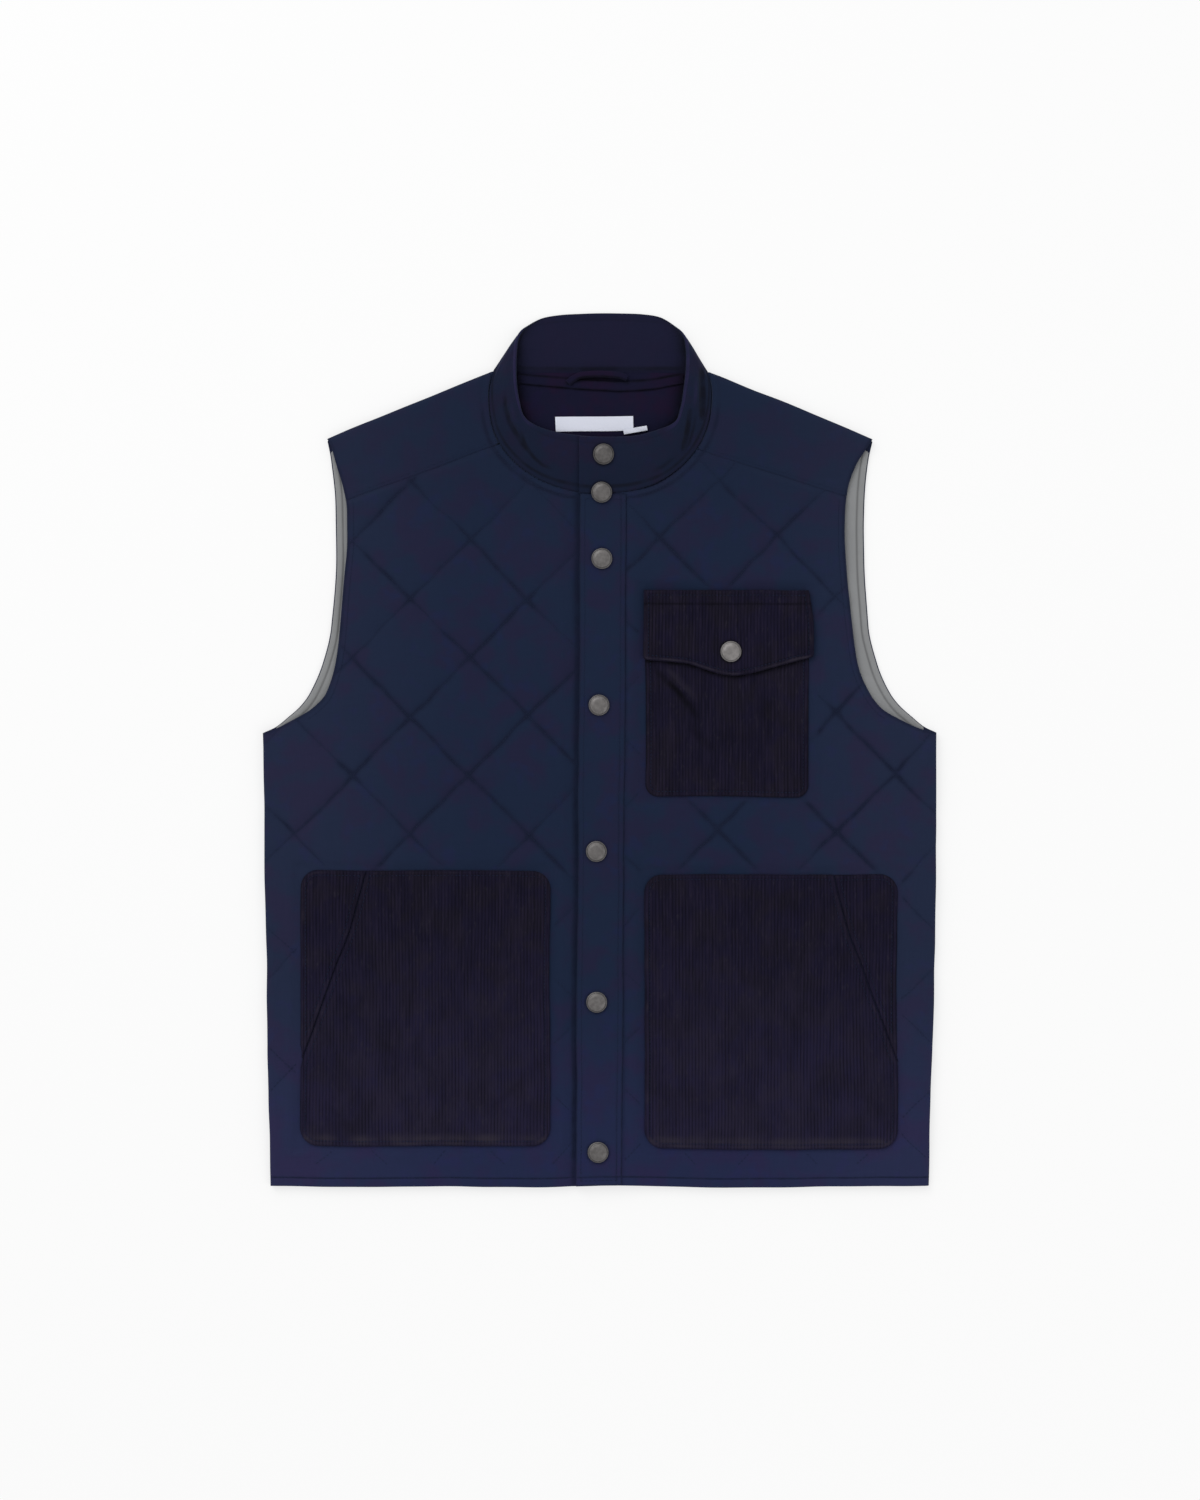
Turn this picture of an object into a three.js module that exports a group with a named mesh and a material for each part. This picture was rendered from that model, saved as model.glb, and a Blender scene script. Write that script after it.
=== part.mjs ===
// A quilted vest with a stand collar, laid flat on its back and fastened with snaps.
// Millimetres: +X to the viewer's right, +Y from hem to collar, +Z up from the surface it lies on.
// "Right" and "left" are the wearer's, so the right front lies at negative X.
import * as THREE from "three";

// Clearance between neighbouring pieces
const GAP = 0.3;

// Body: half widths from the centre line, heights along Y
const HEM_Y = -370;
const ARMPIT_Y = 15;
const SHOULDER_TIP = { x: 232, y: 265 };
const NECK_POINT = { x: 91, y: 323 };
const BACK_NECK_Y = 319;
const OUTER_EDGE_BACK = [
  { y: HEM_Y, x: 279.7 },
  { y: -255, x: 282.4 },
  { y: -127, x: 285.2 },
  { y: ARMPIT_Y, x: 286.5 },
  { y: 20, x: 276 },
  { y: 28, x: 266 },
  { y: 38, x: 255 },
  { y: 49, x: 247 },
  { y: 74, x: 236 },
  { y: 105, x: 228.5 },
  { y: 163, x: 225 },
  { y: 210, x: 225.5 },
  { y: 247, x: 228.5 },
  { y: SHOULDER_TIP.y, x: SHOULDER_TIP.x },
];
const OUTER_EDGE_FRONT = [
  { y: HEM_Y, right: 280.4, left: 279 },
  { y: -255, right: 282.4, left: 282.4 },
  { y: -127, right: 284.8, left: 285.6 },
  { y: ARMPIT_Y, right: 286.5, left: 286.5 },
  { y: 18, right: 277, left: 273 },
  { y: 24, right: 265, left: 259 },
  { y: 36, right: 245, left: 239 },
  { y: 49, right: 233, left: 229.5 },
  { y: 76, right: 224.5, left: 218.5 },
  { y: 108, right: 220.5, left: 214 },
  { y: 150, right: 217.5, left: 210 },
  { y: 181, right: 215.3, left: 208.6 },
  { y: 204, right: 215.4, left: 209 },
  { y: 222, right: 218, left: 211 },
  { y: 242, right: 223.5, left: 217.5 },
  { y: 259, right: 228.5, left: 227.5 },
  { y: SHOULDER_TIP.y, right: 231.7, left: 231.5 },
];

// Neck seam on the fronts: the lower half of a rounded oval, flat across the placket
const NECK = { halfWidth: 95.6, centreY: 302, lowestY: 218.5, roundness: 2.2 };

// Yoke seam: a straight line from the neck curve down to the armhole
const YOKE_SEAM = {
  right: { neckX: 84.6, neckY: 261.3, armholeX: 216, armholeY: 213 },
  left: { neckX: 86.5, neckY: 255, armholeX: 210, armholeY: 216 },
};

// Layers, as heights above the surface
const BACK_TOP = 2.4;
const BACK_RIM = { rise: 1.5, shoulderShare: 0.55, from: 3, to: 7 };
const LINING = { bottom: 2.7, top: 3.6, insetFromSide: 11, insetFromHem: 8, insetFromShoulder: 12 };
const LINING_NECK = { fromY: 296, topY: 315, halfWidth: 82 };
const LINING_BEYOND_ARMHOLE = 0.4;
const FACING = { bottom: 3.9, top: 4.9, halfWidth: 80, centreY: 302, depth: 64 };
const FRONT = { bottom: 4.2, top: 6.9 };
const UNDERLAP = { top: 5.7, edgeX: 12 };
const OVERLAP = { bottom: 6.1, top: 8.3 };
const LAP_FADE = { right: { from: -34, to: -24 }, left: { from: 44, to: 24 }, under: { from: 22, to: 32 } };
const YOKE_RISE = 0.5;
const YOKE_BELOW_NECK_POINT = 2;

// How surfaces round off: at folded sides and shoulders, at free edges, and beside seams
const FOLD_ROUND = { drop: 1.9, reach: 7 };
const FREE_ROUND = { drop: 0.9, reach: 4 };
const SEAM_ROUND = { drop: 0.5, reach: 4 };
const PATCH_ROUND = { drop: 0.6, reach: 1.5 };

// Placket band on the left front
const PLACKET = { topX: -16.5, hemX: -20.4, width: 39, thickness: 1.2, topY: 218 };

// Quilting: lines at 45 degrees both ways, one crossing given for each front
const QUILT_DIAGONAL = 100;
const PUFF = { height: 2.4, fullness: 0.55 };
const QUILT_CROSSING = { right: { x: -11, y: -21 }, left: { x: 50.5, y: -18.5 } };
const GRID = QUILT_DIAGONAL / 8;

// Patch pockets: distances from the centre line
const LOWER_POCKET = {
  right: { innerX: 42.5, outerX: 254.5, topY: -102, bottomY: -335 },
  left: { innerX: 38, outerX: 252.5, topY: -105.5, bottomY: -338 },
};
const POCKET_CORNER_RADIUS = 15;
// Slanted hand entry: distance from the centre line at heights measured from the pocket's top
const POCKET_ENTRY = [
  { y: -160, x: 253 },
  { y: -134.5, x: 243.7 },
  { y: -81, x: 223.8 },
  { y: -52.5, x: 212.5 },
  { y: -26, x: 205 },
  { y: 0, x: 199 },
];
const POCKET_THICKNESS = 1.8;
const CORNER_THICKNESS = 1.1;
const CHEST_POCKET = { innerX: 38.8, outerX: 177.2, topY: 118, bottomY: -39.5, radius: 11, thickness: 1.4 };
const CHEST_FLAP = { innerX: 37.2, outerX: 181.4, topY: 136.4, thickness: 1.6 };
const FLAP_EDGE = [
  { y: 63.3, left: 112.9, right: 114.9 },
  { y: 66, left: 97.7, right: 131.7 },
  { y: 70.7, left: 83.5, right: 150.5 },
  { y: 73.5, left: 74.7, right: 160.7 },
  { y: 75.3, left: 57, right: 167.5 },
  { y: 77.5, left: 37.2, right: 174.5 },
  { y: 79.5, left: 37.2, right: 181.4 },
  { y: 105, left: 37.2, right: 181.4 },
  { y: 136.4, left: 37.8, right: 177.4 },
];

// Collar: one wall through these stations, each from the neck seam to the free top edge
const COLLAR_THICKNESS = 2.4;
const COLLAR = [
  { seamX: 17, seamY: 219.8, seamZ: 5.4, edgeX: 17, edgeY: 266, edgeZ: 8.4 },
  { seamX: 0, seamY: 219.6, seamZ: 5.4, edgeX: 0, edgeY: 266, edgeZ: 8.6 },
  { seamX: -22, seamY: 221.2, seamZ: 5.6, edgeX: -30, edgeY: 269, edgeZ: 10 },
  { seamX: -40, seamY: 225.7, seamZ: 5.8, edgeX: -52, edgeY: 274.5, edgeZ: 12 },
  { seamX: -57, seamY: 233.6, seamZ: 6, edgeX: -64, edgeY: 283, edgeZ: 14 },
  { seamX: -72.9, seamY: 246.2, seamZ: 6, edgeX: -68.5, edgeY: 297, edgeZ: 15.5 },
  { seamX: -85.9, seamY: 264.3, seamZ: 6, edgeX: -70.8, edgeY: 313, edgeZ: 16 },
  { seamX: -92.6, seamY: 284.9, seamZ: 6, edgeX: -71.3, edgeY: 330, edgeZ: 14 },
  { seamX: -94, seamY: 303, seamZ: 5.6, edgeX: -70.5, edgeY: 346, edgeZ: 10 },
  { seamX: -92.3, seamY: 315, seamZ: 4.8, edgeX: -68, edgeY: 355, edgeZ: 6.4 },
  { seamX: -89.5, seamY: 323.5, seamZ: 3.4, edgeX: -62.5, edgeY: 361.5, edgeZ: 3.6 },
  { seamX: -80, seamY: 322.5, seamZ: 1.7, edgeX: -50, edgeY: 367, edgeZ: 1.6 },
  { seamX: -64, seamY: 320.6, seamZ: 1.2, edgeX: -34, edgeY: 369.4, edgeZ: 1.2 },
  { seamX: -32, seamY: 319.8, seamZ: 1.2, edgeX: -16, edgeY: 370, edgeZ: 1.2 },
  { seamX: 0, seamY: 319.8, seamZ: 1.2, edgeX: 0, edgeY: 370, edgeZ: 1.2 },
  { seamX: 32, seamY: 319.8, seamZ: 1.2, edgeX: 16, edgeY: 370, edgeZ: 1.2 },
  { seamX: 64, seamY: 320.6, seamZ: 1.2, edgeX: 36, edgeY: 369.6, edgeZ: 1.2 },
  { seamX: 80, seamY: 322.5, seamZ: 1.7, edgeX: 52, edgeY: 367, edgeZ: 1.6 },
  { seamX: 89.5, seamY: 323, seamZ: 3.4, edgeX: 64, edgeY: 360.5, edgeZ: 3.6 },
  { seamX: 92.5, seamY: 314.5, seamZ: 4.8, edgeX: 70, edgeY: 353.5, edgeZ: 6.4 },
  { seamX: 94.1, seamY: 303, seamZ: 5.6, edgeX: 72.4, edgeY: 344, edgeZ: 10 },
  { seamX: 92.6, seamY: 284.9, seamZ: 6, edgeX: 72.8, edgeY: 328, edgeZ: 14 },
  { seamX: 85.9, seamY: 264.3, seamZ: 6.2, edgeX: 71.5, edgeY: 312, edgeZ: 16 },
  { seamX: 72.9, seamY: 246.2, seamZ: 6.6, edgeX: 69, edgeY: 293, edgeZ: 16.4 },
  { seamX: 57, seamY: 233.6, seamZ: 7.2, edgeX: 64, edgeY: 279.5, edgeZ: 15.6 },
  { seamX: 41, seamY: 226, seamZ: 7.8, edgeX: 48, edgeY: 272, edgeZ: 14.4 },
  { seamX: 24, seamY: 221.4, seamZ: 8.2, edgeX: 28, edgeY: 267, edgeZ: 13 },
  { seamX: 0, seamY: 219.6, seamZ: 8.4, edgeX: 0, edgeY: 266.3, edgeZ: 12 },
  { seamX: -17.8, seamY: 219.6, seamZ: 8.4, edgeX: -17.8, edgeY: 266.4, edgeZ: 12 },
];
const COLLAR_STEPS_AROUND = 72;
const COLLAR_STEPS_UP = 4;
const COLLAR_BULGE = 1.6;

// Back neck: tape, loop and labels
const NECK_TAPE = { width: 7.6, bottom: 5.2, thickness: 0.9, steps: 12 };
const TAPE_PATH = [
  { x: -71, y: 316.5 },
  { x: -31.5, y: 312.9 },
  { x: -8, y: 310.9 },
  { x: 16, y: 309.9 },
  { x: 44, y: 311.7 },
  { x: 71, y: 317 },
];
const LOOP_PATH = [
  { x: -27, y: 312.5, z: 6.4 },
  { x: -22, y: 316.3, z: 6.4 },
  { x: -15, y: 319.5, z: 6.4 },
  { x: -4, y: 320.8, z: 6.4 },
  { x: 9, y: 320, z: 6.4 },
  { x: 18, y: 318.2, z: 6.4 },
  { x: 22.5, y: 316.4, z: 6.4 },
];
const LOOP = { width: 5.4, thickness: 1.8 };
const NECK_LABEL = { leftX: -38, rightX: 29.5, topY: 284.2, bottomY: 271.2, bottom: 5.2, thickness: 1 };
const SIZE_TAB = { leftX: 20, rightX: 41, topY: 273.8, bottomY: 270, slope: 0.18, bottom: 6.5, thickness: 1 };

// Snap caps: centre and the piece that carries each
const SNAP = { radius: 8.85, height: 2.8, rimHeight: 0.9, sides: 20 };
const COLLAR_SNAP = { x: 3, y: 251.3, lean: 0.02, z: 13.8 };
const NECK_SNAP = { x: 1.7, y: 219.4, z: 11.1, lean: 0.05 };
const PLACKET_SNAPS = [
  { x: 1.7, y: 162.8 },
  { x: -1.3, y: 38.7 },
  { x: -3, y: -85.4 },
  { x: -2.6, y: -213.8 },
  { x: -1.7, y: -341.6 },
];
const CHEST_SNAP = { x: 111.8, y: 83.6 };

const NAVY = { color: "#1f2740", roughness: 0.85, metalness: 0 };
const CORDUROY = { color: "#1e1b2b", roughness: 0.95, metalness: 0 };
const GREY_LINING = { color: "#83868a", roughness: 0.85, metalness: 0 };
const WHITE_TAPE = { color: "#ced1dd", roughness: 0.8, metalness: 0 };
const GUNMETAL = { color: "#77757a", roughness: 0.4, metalness: 1 };

const clamp = (value) => Math.min(1, Math.max(0, value));
const smoothStep = (from, to, value) => {
  const share = clamp((value - from) / (to - from));
  return share * share * (3 - 2 * share);
};
const mix = (a, b, share) => a + (b - a) * share;

// Reads one column of a table at a height y, straight between its rows.
function readTable(rows, column, y) {
  const upper = rows.findIndex((row) => row.y >= y);
  if (upper <= 0) return rows.at(upper === 0 ? 0 : -1)[column];
  const [below, above] = [rows[upper - 1], rows[upper]];
  return mix(below[column], above[column], (y - below.y) / (above.y - below.y));
}

// Half width of the shoulder line at a height between the tip and the neck point.
function shoulderHalf(y) {
  const share = (y - SHOULDER_TIP.y) / (NECK_POINT.y - SHOULDER_TIP.y);
  return mix(SHOULDER_TIP.x, NECK_POINT.x, share);
}

// Half width of the neck seam: widest at its centre height, a little narrower at the neck point.
function neckHalf(y) {
  const above = clamp((y - NECK.centreY) / (NECK_POINT.y - NECK.centreY));
  if (above > 0) return mix(NECK.halfWidth, NECK_POINT.x, above ** 2);
  const share = clamp((NECK.centreY - y) / (NECK.centreY - NECK.lowestY));
  return NECK.halfWidth * (1 - share ** NECK.roundness) ** (1 / NECK.roundness);
}

function yokeSeamX(side, y) {
  const seam = YOKE_SEAM[side];
  return mix(seam.neckX, seam.armholeX, (seam.neckY - y) / (seam.neckY - seam.armholeY));
}

const backHalf = (y) => (y > SHOULDER_TIP.y ? shoulderHalf(y) : readTable(OUTER_EDGE_BACK, "x", y));
const frontHalf = (side, y) => (y > SHOULDER_TIP.y ? shoulderHalf(y) : readTable(OUTER_EDGE_FRONT, side, y));
const placketLeftX = (y) => mix(PLACKET.hemX, PLACKET.topX, (y - HEM_Y) / (PLACKET.topY - HEM_Y));

// Shortest distance from a point to a chain of points.
function distanceTo(chain, x, y) {
  let nearest = Infinity;
  for (let i = 1; i < chain.length; i += 1) {
    const [ax, ay] = chain[i - 1];
    const [dx, dy] = [chain[i][0] - ax, chain[i][1] - ay];
    const share = clamp(((x - ax) * dx + (y - ay) * dy) / (dx * dx + dy * dy || 1));
    nearest = Math.min(nearest, Math.hypot(x - ax - dx * share, y - ay - dy * share));
  }
  return nearest;
}

// Points along a curve x(y), from one height to another.
function chainAlong(from, to, xAt, steps = 48) {
  return Array.from({ length: steps + 1 }, (_, i) => {
    const y = mix(from, to, i / steps);
    return [xAt(y), y];
  });
}

// How far a surface falls towards an edge: a quarter round of the given drop and reach.
function edgeDrop(distance, { drop, reach }) {
  const share = clamp(1 - distance / reach);
  return drop * (1 - Math.sqrt(1 - share * share));
}

// Numbers from one value to another on a fixed lattice, clear of both ends.
function latticeBetween(from, to, origin, step, clear) {
  const values = [];
  for (let k = Math.ceil((from + clear - origin) / step); origin + k * step <= to - clear; k += 1) {
    values.push(origin + k * step);
  }
  return values;
}

// Rows of points that fill a flat piece between its left and right edges. Borders are distances
// square to the edge, so they reach further along a row where the edge is slanted.
function fillRows({ heights, left, right, origin = 0, step = GRID, borders = [], keep = () => true }) {
  const [lowest, highest] = [heights[0], heights.at(-1)];
  const slant = (edge, y) => {
    const [below, above] = [Math.max(lowest, y - 1), Math.min(highest, y + 1)];
    return Math.min(3.5, Math.hypot(1, (edge(above) - edge(below)) / (above - below)));
  };
  return heights.map((y) => {
    const [from, to] = [left(y), right(y)];
    const [slantLeft, slantRight] = [slant(left, y), slant(right, y)];
    const inner = borders.filter((border) => to - from > 1.3 * border * (slantLeft + slantRight));
    const reach = (inner.at(-1) ?? 0) + 1.2;
    const start = from + reach * slantLeft;
    const end = to - reach * slantRight;
    const middle = end > start ? latticeBetween(start, end, origin, step, 0) : [];
    const xs = [
      from,
      ...inner.map((border) => from + border * slantLeft),
      ...middle.filter((x) => keep(x, y)),
      ...inner.map((border) => to - border * slantRight).reverse(),
      to,
    ];
    return { y, xs };
  });
}

// Triangles between two rows, each new edge the shorter one, or the one closer to the surface.
function zipRows(lower, upper, height) {
  const faces = [];
  const miss = (a, b) => {
    const middle = height((a.x + b.x) / 2, (a.y + b.y) / 2);
    return Math.abs((height(a.x, a.y) + height(b.x, b.y)) / 2 - middle);
  };
  const span = (a, b) => (a && b ? Math.hypot(a.x - b.x, a.y - b.y) : Infinity);
  let [i, j] = [0, 0];
  while (i < lower.length - 1 || j < upper.length - 1) {
    const alongLower = span(lower[i + 1], upper[j]);
    const alongUpper = span(lower[i], upper[j + 1]);
    let useLower = alongLower < alongUpper;
    if (Math.abs(alongLower - alongUpper) < 0.05 * GRID) {
      useLower = miss(lower[i + 1], upper[j]) < miss(lower[i], upper[j + 1]);
    }
    if (useLower) {
      faces.push([lower[i].id, lower[i + 1].id, upper[j].id]);
      i += 1;
    } else {
      faces.push([lower[i].id, upper[j + 1].id, upper[j].id]);
      j += 1;
    }
  }
  return faces;
}

// A closed piece from its vertices and triangles.
function closedMesh(name, finish, vertices, faces) {
  const geometry = new THREE.BufferGeometry();
  geometry.setAttribute("position", new THREE.Float32BufferAttribute(vertices.flat(), 3));
  geometry.setIndex(faces.flat());
  const flat = geometry.toNonIndexed();
  flat.computeVertexNormals();
  const mesh = new THREE.Mesh(flat, new THREE.MeshStandardMaterial(finish));
  mesh.name = name;
  return mesh;
}

// A cloth piece lying down: rows of points with a top and an underside, closed along its edge.
// Inner points of the underside are kept only near the given xs, because it is plain.
function clothPiece({ name, finish, rows, top, bottom, plainXs = [], plainUnder = true }) {
  const vertices = [];
  const faces = [];
  const lastRow = rows.length - 1;
  const place = (height, x, y) => {
    vertices.push([x, y, height(x, y)]);
    return { x, y, id: vertices.length - 1 };
  };
  const keptBelow = (row, x, at, index) => {
    const onEdge = index === 0 || index === row.xs.length - 1 || at === 0 || at === lastRow;
    return onEdge || !plainUnder || plainXs.some((kept) => Math.abs(kept - x) < GRID / 2);
  };
  const upper = rows.map((row) => row.xs.map((x) => place(top, x, row.y)));
  const lower = rows.map((row, at) => {
    return row.xs.filter((x, index) => keptBelow(row, x, at, index)).map((x) => place(bottom, x, row.y));
  });
  for (let at = 0; at < lastRow; at += 1) {
    faces.push(...zipRows(upper[at], upper[at + 1], top));
    faces.push(...zipRows(lower[at], lower[at + 1], bottom).map(([a, b, c]) => [a, c, b]));
  }
  const wall = (topStart, topEnd, underStart, underEnd) => {
    faces.push([topStart.id, underStart.id, underEnd.id], [topStart.id, underEnd.id, topEnd.id]);
  };
  for (let at = 0; at < lastRow; at += 1) {
    wall(upper[at + 1][0], upper[at][0], lower[at + 1][0], lower[at][0]);
    wall(upper[at].at(-1), upper[at + 1].at(-1), lower[at].at(-1), lower[at + 1].at(-1));
  }
  for (let k = 1; k < upper[0].length; k += 1) {
    wall(upper[0][k - 1], upper[0][k], lower[0][k - 1], lower[0][k]);
  }
  for (let k = 1; k < upper[lastRow].length; k += 1) {
    wall(upper[lastRow][k], upper[lastRow][k - 1], lower[lastRow][k], lower[lastRow][k - 1]);
  }
  return closedMesh(name, finish, vertices, faces);
}

// Puff of the quilting at a point, from 0 on a sewn line to 1 in the middle of a diamond.
function quiltPuff(side, x, y) {
  const crossing = QUILT_CROSSING[side];
  const [alongX, alongY] = [x - crossing.x, y - crossing.y];
  const rise = Math.abs(Math.sin((Math.PI * (alongX + alongY)) / QUILT_DIAGONAL));
  const fall = Math.abs(Math.sin((Math.PI * (alongX - alongY)) / QUILT_DIAGONAL));
  return (rise * fall) ** PUFF.fullness;
}

// How much a patch presses the quilting flat: 1 inside its box, 0 a grid step and more outside.
function pressedBy({ innerX, outerX, topY, bottomY }, alongX, y) {
  const outside = Math.max(innerX - alongX, alongX - outerX, bottomY - y, y - topY);
  return 1 - smoothStep(GRID, 2.2 * GRID, outside);
}

// Edge lines of the two fronts and yokes, on which their surfaces fall.
function edgesOf(side) {
  const sign = side === "right" ? -1 : 1;
  const outer = (y) => sign * frontHalf(side, y);
  return {
    side: chainAlong(HEM_Y, ARMPIT_Y, outer),
    armhole: chainAlong(ARMPIT_Y, SHOULDER_TIP.y, outer, 120),
    shoulder: chainAlong(SHOULDER_TIP.y, NECK_POINT.y, outer),
    hem: [
      [-SHOULDER_TIP.x - 60, HEM_Y],
      [SHOULDER_TIP.x + 60, HEM_Y],
    ],
    yokeSeam: chainAlong(YOKE_SEAM[side].armholeY, YOKE_SEAM[side].neckY, (y) => sign * yokeSeamX(side, y)),
    neck: chainAlong(NECK.lowestY, NECK_POINT.y, (y) => sign * neckHalf(y), 80),
  };
}
const EDGES = { right: edgesOf("right"), left: edgesOf("left") };

// Height of a shoulder or front surface where its edges, seams and lap are taken into account.
function frontTop(side, x, y) {
  const edges = EDGES[side];
  const alongX = side === "right" ? -x : x;
  const fade = LAP_FADE[side];
  const lap = smoothStep(fade.from, fade.to, x);
  const lapTop = side === "right" ? UNDERLAP.top : OVERLAP.top;
  const pocket = pressedBy(LOWER_POCKET[side], alongX, y);
  const chest = side === "left" ? pressedBy({ ...CHEST_FLAP, bottomY: CHEST_POCKET.bottomY }, alongX, y) : 0;
  const seamDistance = Math.min(distanceTo(edges.yokeSeam, x, y), distanceTo(edges.neck, x, y));
  const pressed = Math.max(lap, pocket, chest, 1 - smoothStep(0, GRID, seamDistance));
  const puff = quiltPuff(side, x, y) * (1 - pressed);
  return mix(FRONT.top, lapTop, lap) + PUFF.height * puff - outerDrop(edges, x, y);
}

function outerDrop(edges, x, y) {
  const fold = Math.min(distanceTo(edges.side, x, y), distanceTo(edges.shoulder, x, y));
  const free = Math.min(distanceTo(edges.armhole, x, y), distanceTo(edges.hem, x, y));
  return Math.max(edgeDrop(fold, FOLD_ROUND), edgeDrop(free, FREE_ROUND));
}

function frontUnder(side, x) {
  if (side === "right") return FRONT.bottom;
  return mix(OVERLAP.bottom, FRONT.bottom, smoothStep(LAP_FADE.under.from, LAP_FADE.under.to, x));
}

// The two fronts, from the hem up to the yoke seam and the neck seam.
function frontPiece(side) {
  const sign = side === "right" ? -1 : 1;
  const crossing = QUILT_CROSSING[side];
  const seam = YOKE_SEAM[side];
  const neckRows = [0, 0.8, 2.4, 5.5, 10, 16].map((rise) => NECK.lowestY + rise);
  const latticeRows = latticeBetween(HEM_Y, NECK.lowestY, crossing.y, GRID, 5);
  const lowerRows = [HEM_Y, HEM_Y + 3, HEM_Y + 8].concat(latticeRows.filter((y) => y > HEM_Y + 11));
  const upperRows = latticeBetween(NECK.lowestY + 18, seam.neckY - 1, crossing.y, GRID, 2);
  const armRows = [ARMPIT_Y, ARMPIT_Y + 2, ARMPIT_Y + 5];
  const heights = [...lowerRows, ...armRows, ...neckRows, ...upperRows, seam.neckY - 2.5]
    .sort((a, b) => a - b)
    .filter((y, at, all) => at === 0 || y - all[at - 1] > 0.7);
  const outer = (y) => {
    const seamLine = y > seam.armholeY ? yokeSeamX(side, y) - GAP : Infinity;
    return sign * Math.min(frontHalf(side, y), seamLine);
  };
  const inner = (y) => {
    if (y > NECK.lowestY) return sign * neckHalf(y);
    return side === "right" ? UNDERLAP.edgeX : placketLeftX(y);
  };
  const [left, right] = side === "right" ? [outer, inner] : [inner, outer];
  const pocket = LOWER_POCKET[side];
  const underPocket = (x, y) => {
    const alongX = sign * x;
    const inside = alongX > pocket.innerX + GRID && alongX < pocket.outerX - GRID;
    return inside && y > pocket.bottomY + GRID && y < pocket.topY - GRID;
  };
  const keep = (x, y) => !underPocket(x, y) || Math.round((x - crossing.x) / GRID) % 5 === 0;
  return clothPiece({
    name: `front_${side}`,
    finish: NAVY,
    rows: fillRows({ heights, left, right, origin: crossing.x, borders: [2.2, 6], keep }),
    top: (x, y) => frontTop(side, x, y),
    bottom: (x) => frontUnder(side, x),
    plainXs: side === "right" ? [] : Object.values(LAP_FADE.under),
  });
}

// The plain shoulder pieces, from the yoke seam over the shoulder line.
function yokePiece(side) {
  const sign = side === "right" ? -1 : 1;
  const seam = YOKE_SEAM[side];
  const top = NECK_POINT.y - YOKE_BELOW_NECK_POINT;
  const heights = [seam.armholeY + 0.4, ...latticeBetween(seam.armholeY, top, 0, 7, 2), SHOULDER_TIP.y, top]
    .sort((a, b) => a - b)
    .filter((y, at, all) => at === 0 || y - all[at - 1] > 0.9);
  const outer = (y) => sign * frontHalf(side, y);
  const inner = (y) => sign * (y < seam.neckY ? yokeSeamX(side, y) + GAP : neckHalf(y));
  const [left, right] = side === "right" ? [outer, inner] : [inner, outer];
  const edges = EDGES[side];
  return clothPiece({
    name: `yoke_${side}`,
    finish: NAVY,
    rows: fillRows({ heights, left, right, borders: [2.2, 6] }),
    top: (x, y) => {
      const seamGroove = edgeDrop(distanceTo(edges.yokeSeam, x, y), SEAM_ROUND);
      return FRONT.top + YOKE_RISE - seamGroove - outerDrop(edges, x, y);
    },
    bottom: () => FRONT.bottom,
  });
}

// The back of the shell: flat below, turned up round the sides and shoulders to meet the fronts.
function backPiece() {
  const heights = [
    ...OUTER_EDGE_BACK.map((row) => row.y),
    HEM_Y + 3,
    ...latticeBetween(HEM_Y, ARMPIT_Y, 0, 40, 12),
    135,
    ...latticeBetween(SHOULDER_TIP.y, BACK_NECK_Y, SHOULDER_TIP.y, 9, 3),
    BACK_NECK_Y,
  ].sort((a, b) => a - b);
  const folds = [-1, 1].flatMap((sign) => [
    chainAlong(HEM_Y, ARMPIT_Y, (y) => sign * backHalf(y), 12),
    chainAlong(SHOULDER_TIP.y, NECK_POINT.y, (y) => sign * backHalf(y), 12),
  ]);
  const foldDistance = (x, y) => Math.min(...folds.map((fold) => distanceTo(fold, x, y)));
  const alongShoulder = (x) => smoothStep(99, 115, x) * (1 - smoothStep(200, 212, x));
  const turnedUp = (x, y) => (y > ARMPIT_Y + 2 ? BACK_RIM.shoulderShare * alongShoulder(Math.abs(x)) : 1);
  const rim = (x, y) => (1 - smoothStep(BACK_RIM.from, BACK_RIM.to, foldDistance(x, y))) * turnedUp(x, y);
  return clothPiece({
    name: "back",
    finish: NAVY,
    rows: fillRows({ heights, left: (y) => -backHalf(y), right: backHalf, step: 120, borders: [2.5, 7.5] }),
    top: (x, y) => BACK_TOP + BACK_RIM.rise * rim(x, y),
    bottom: (x, y) => edgeDrop(foldDistance(x, y), { drop: 1.5, reach: 5 }),
    plainUnder: false,
  });
}

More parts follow.
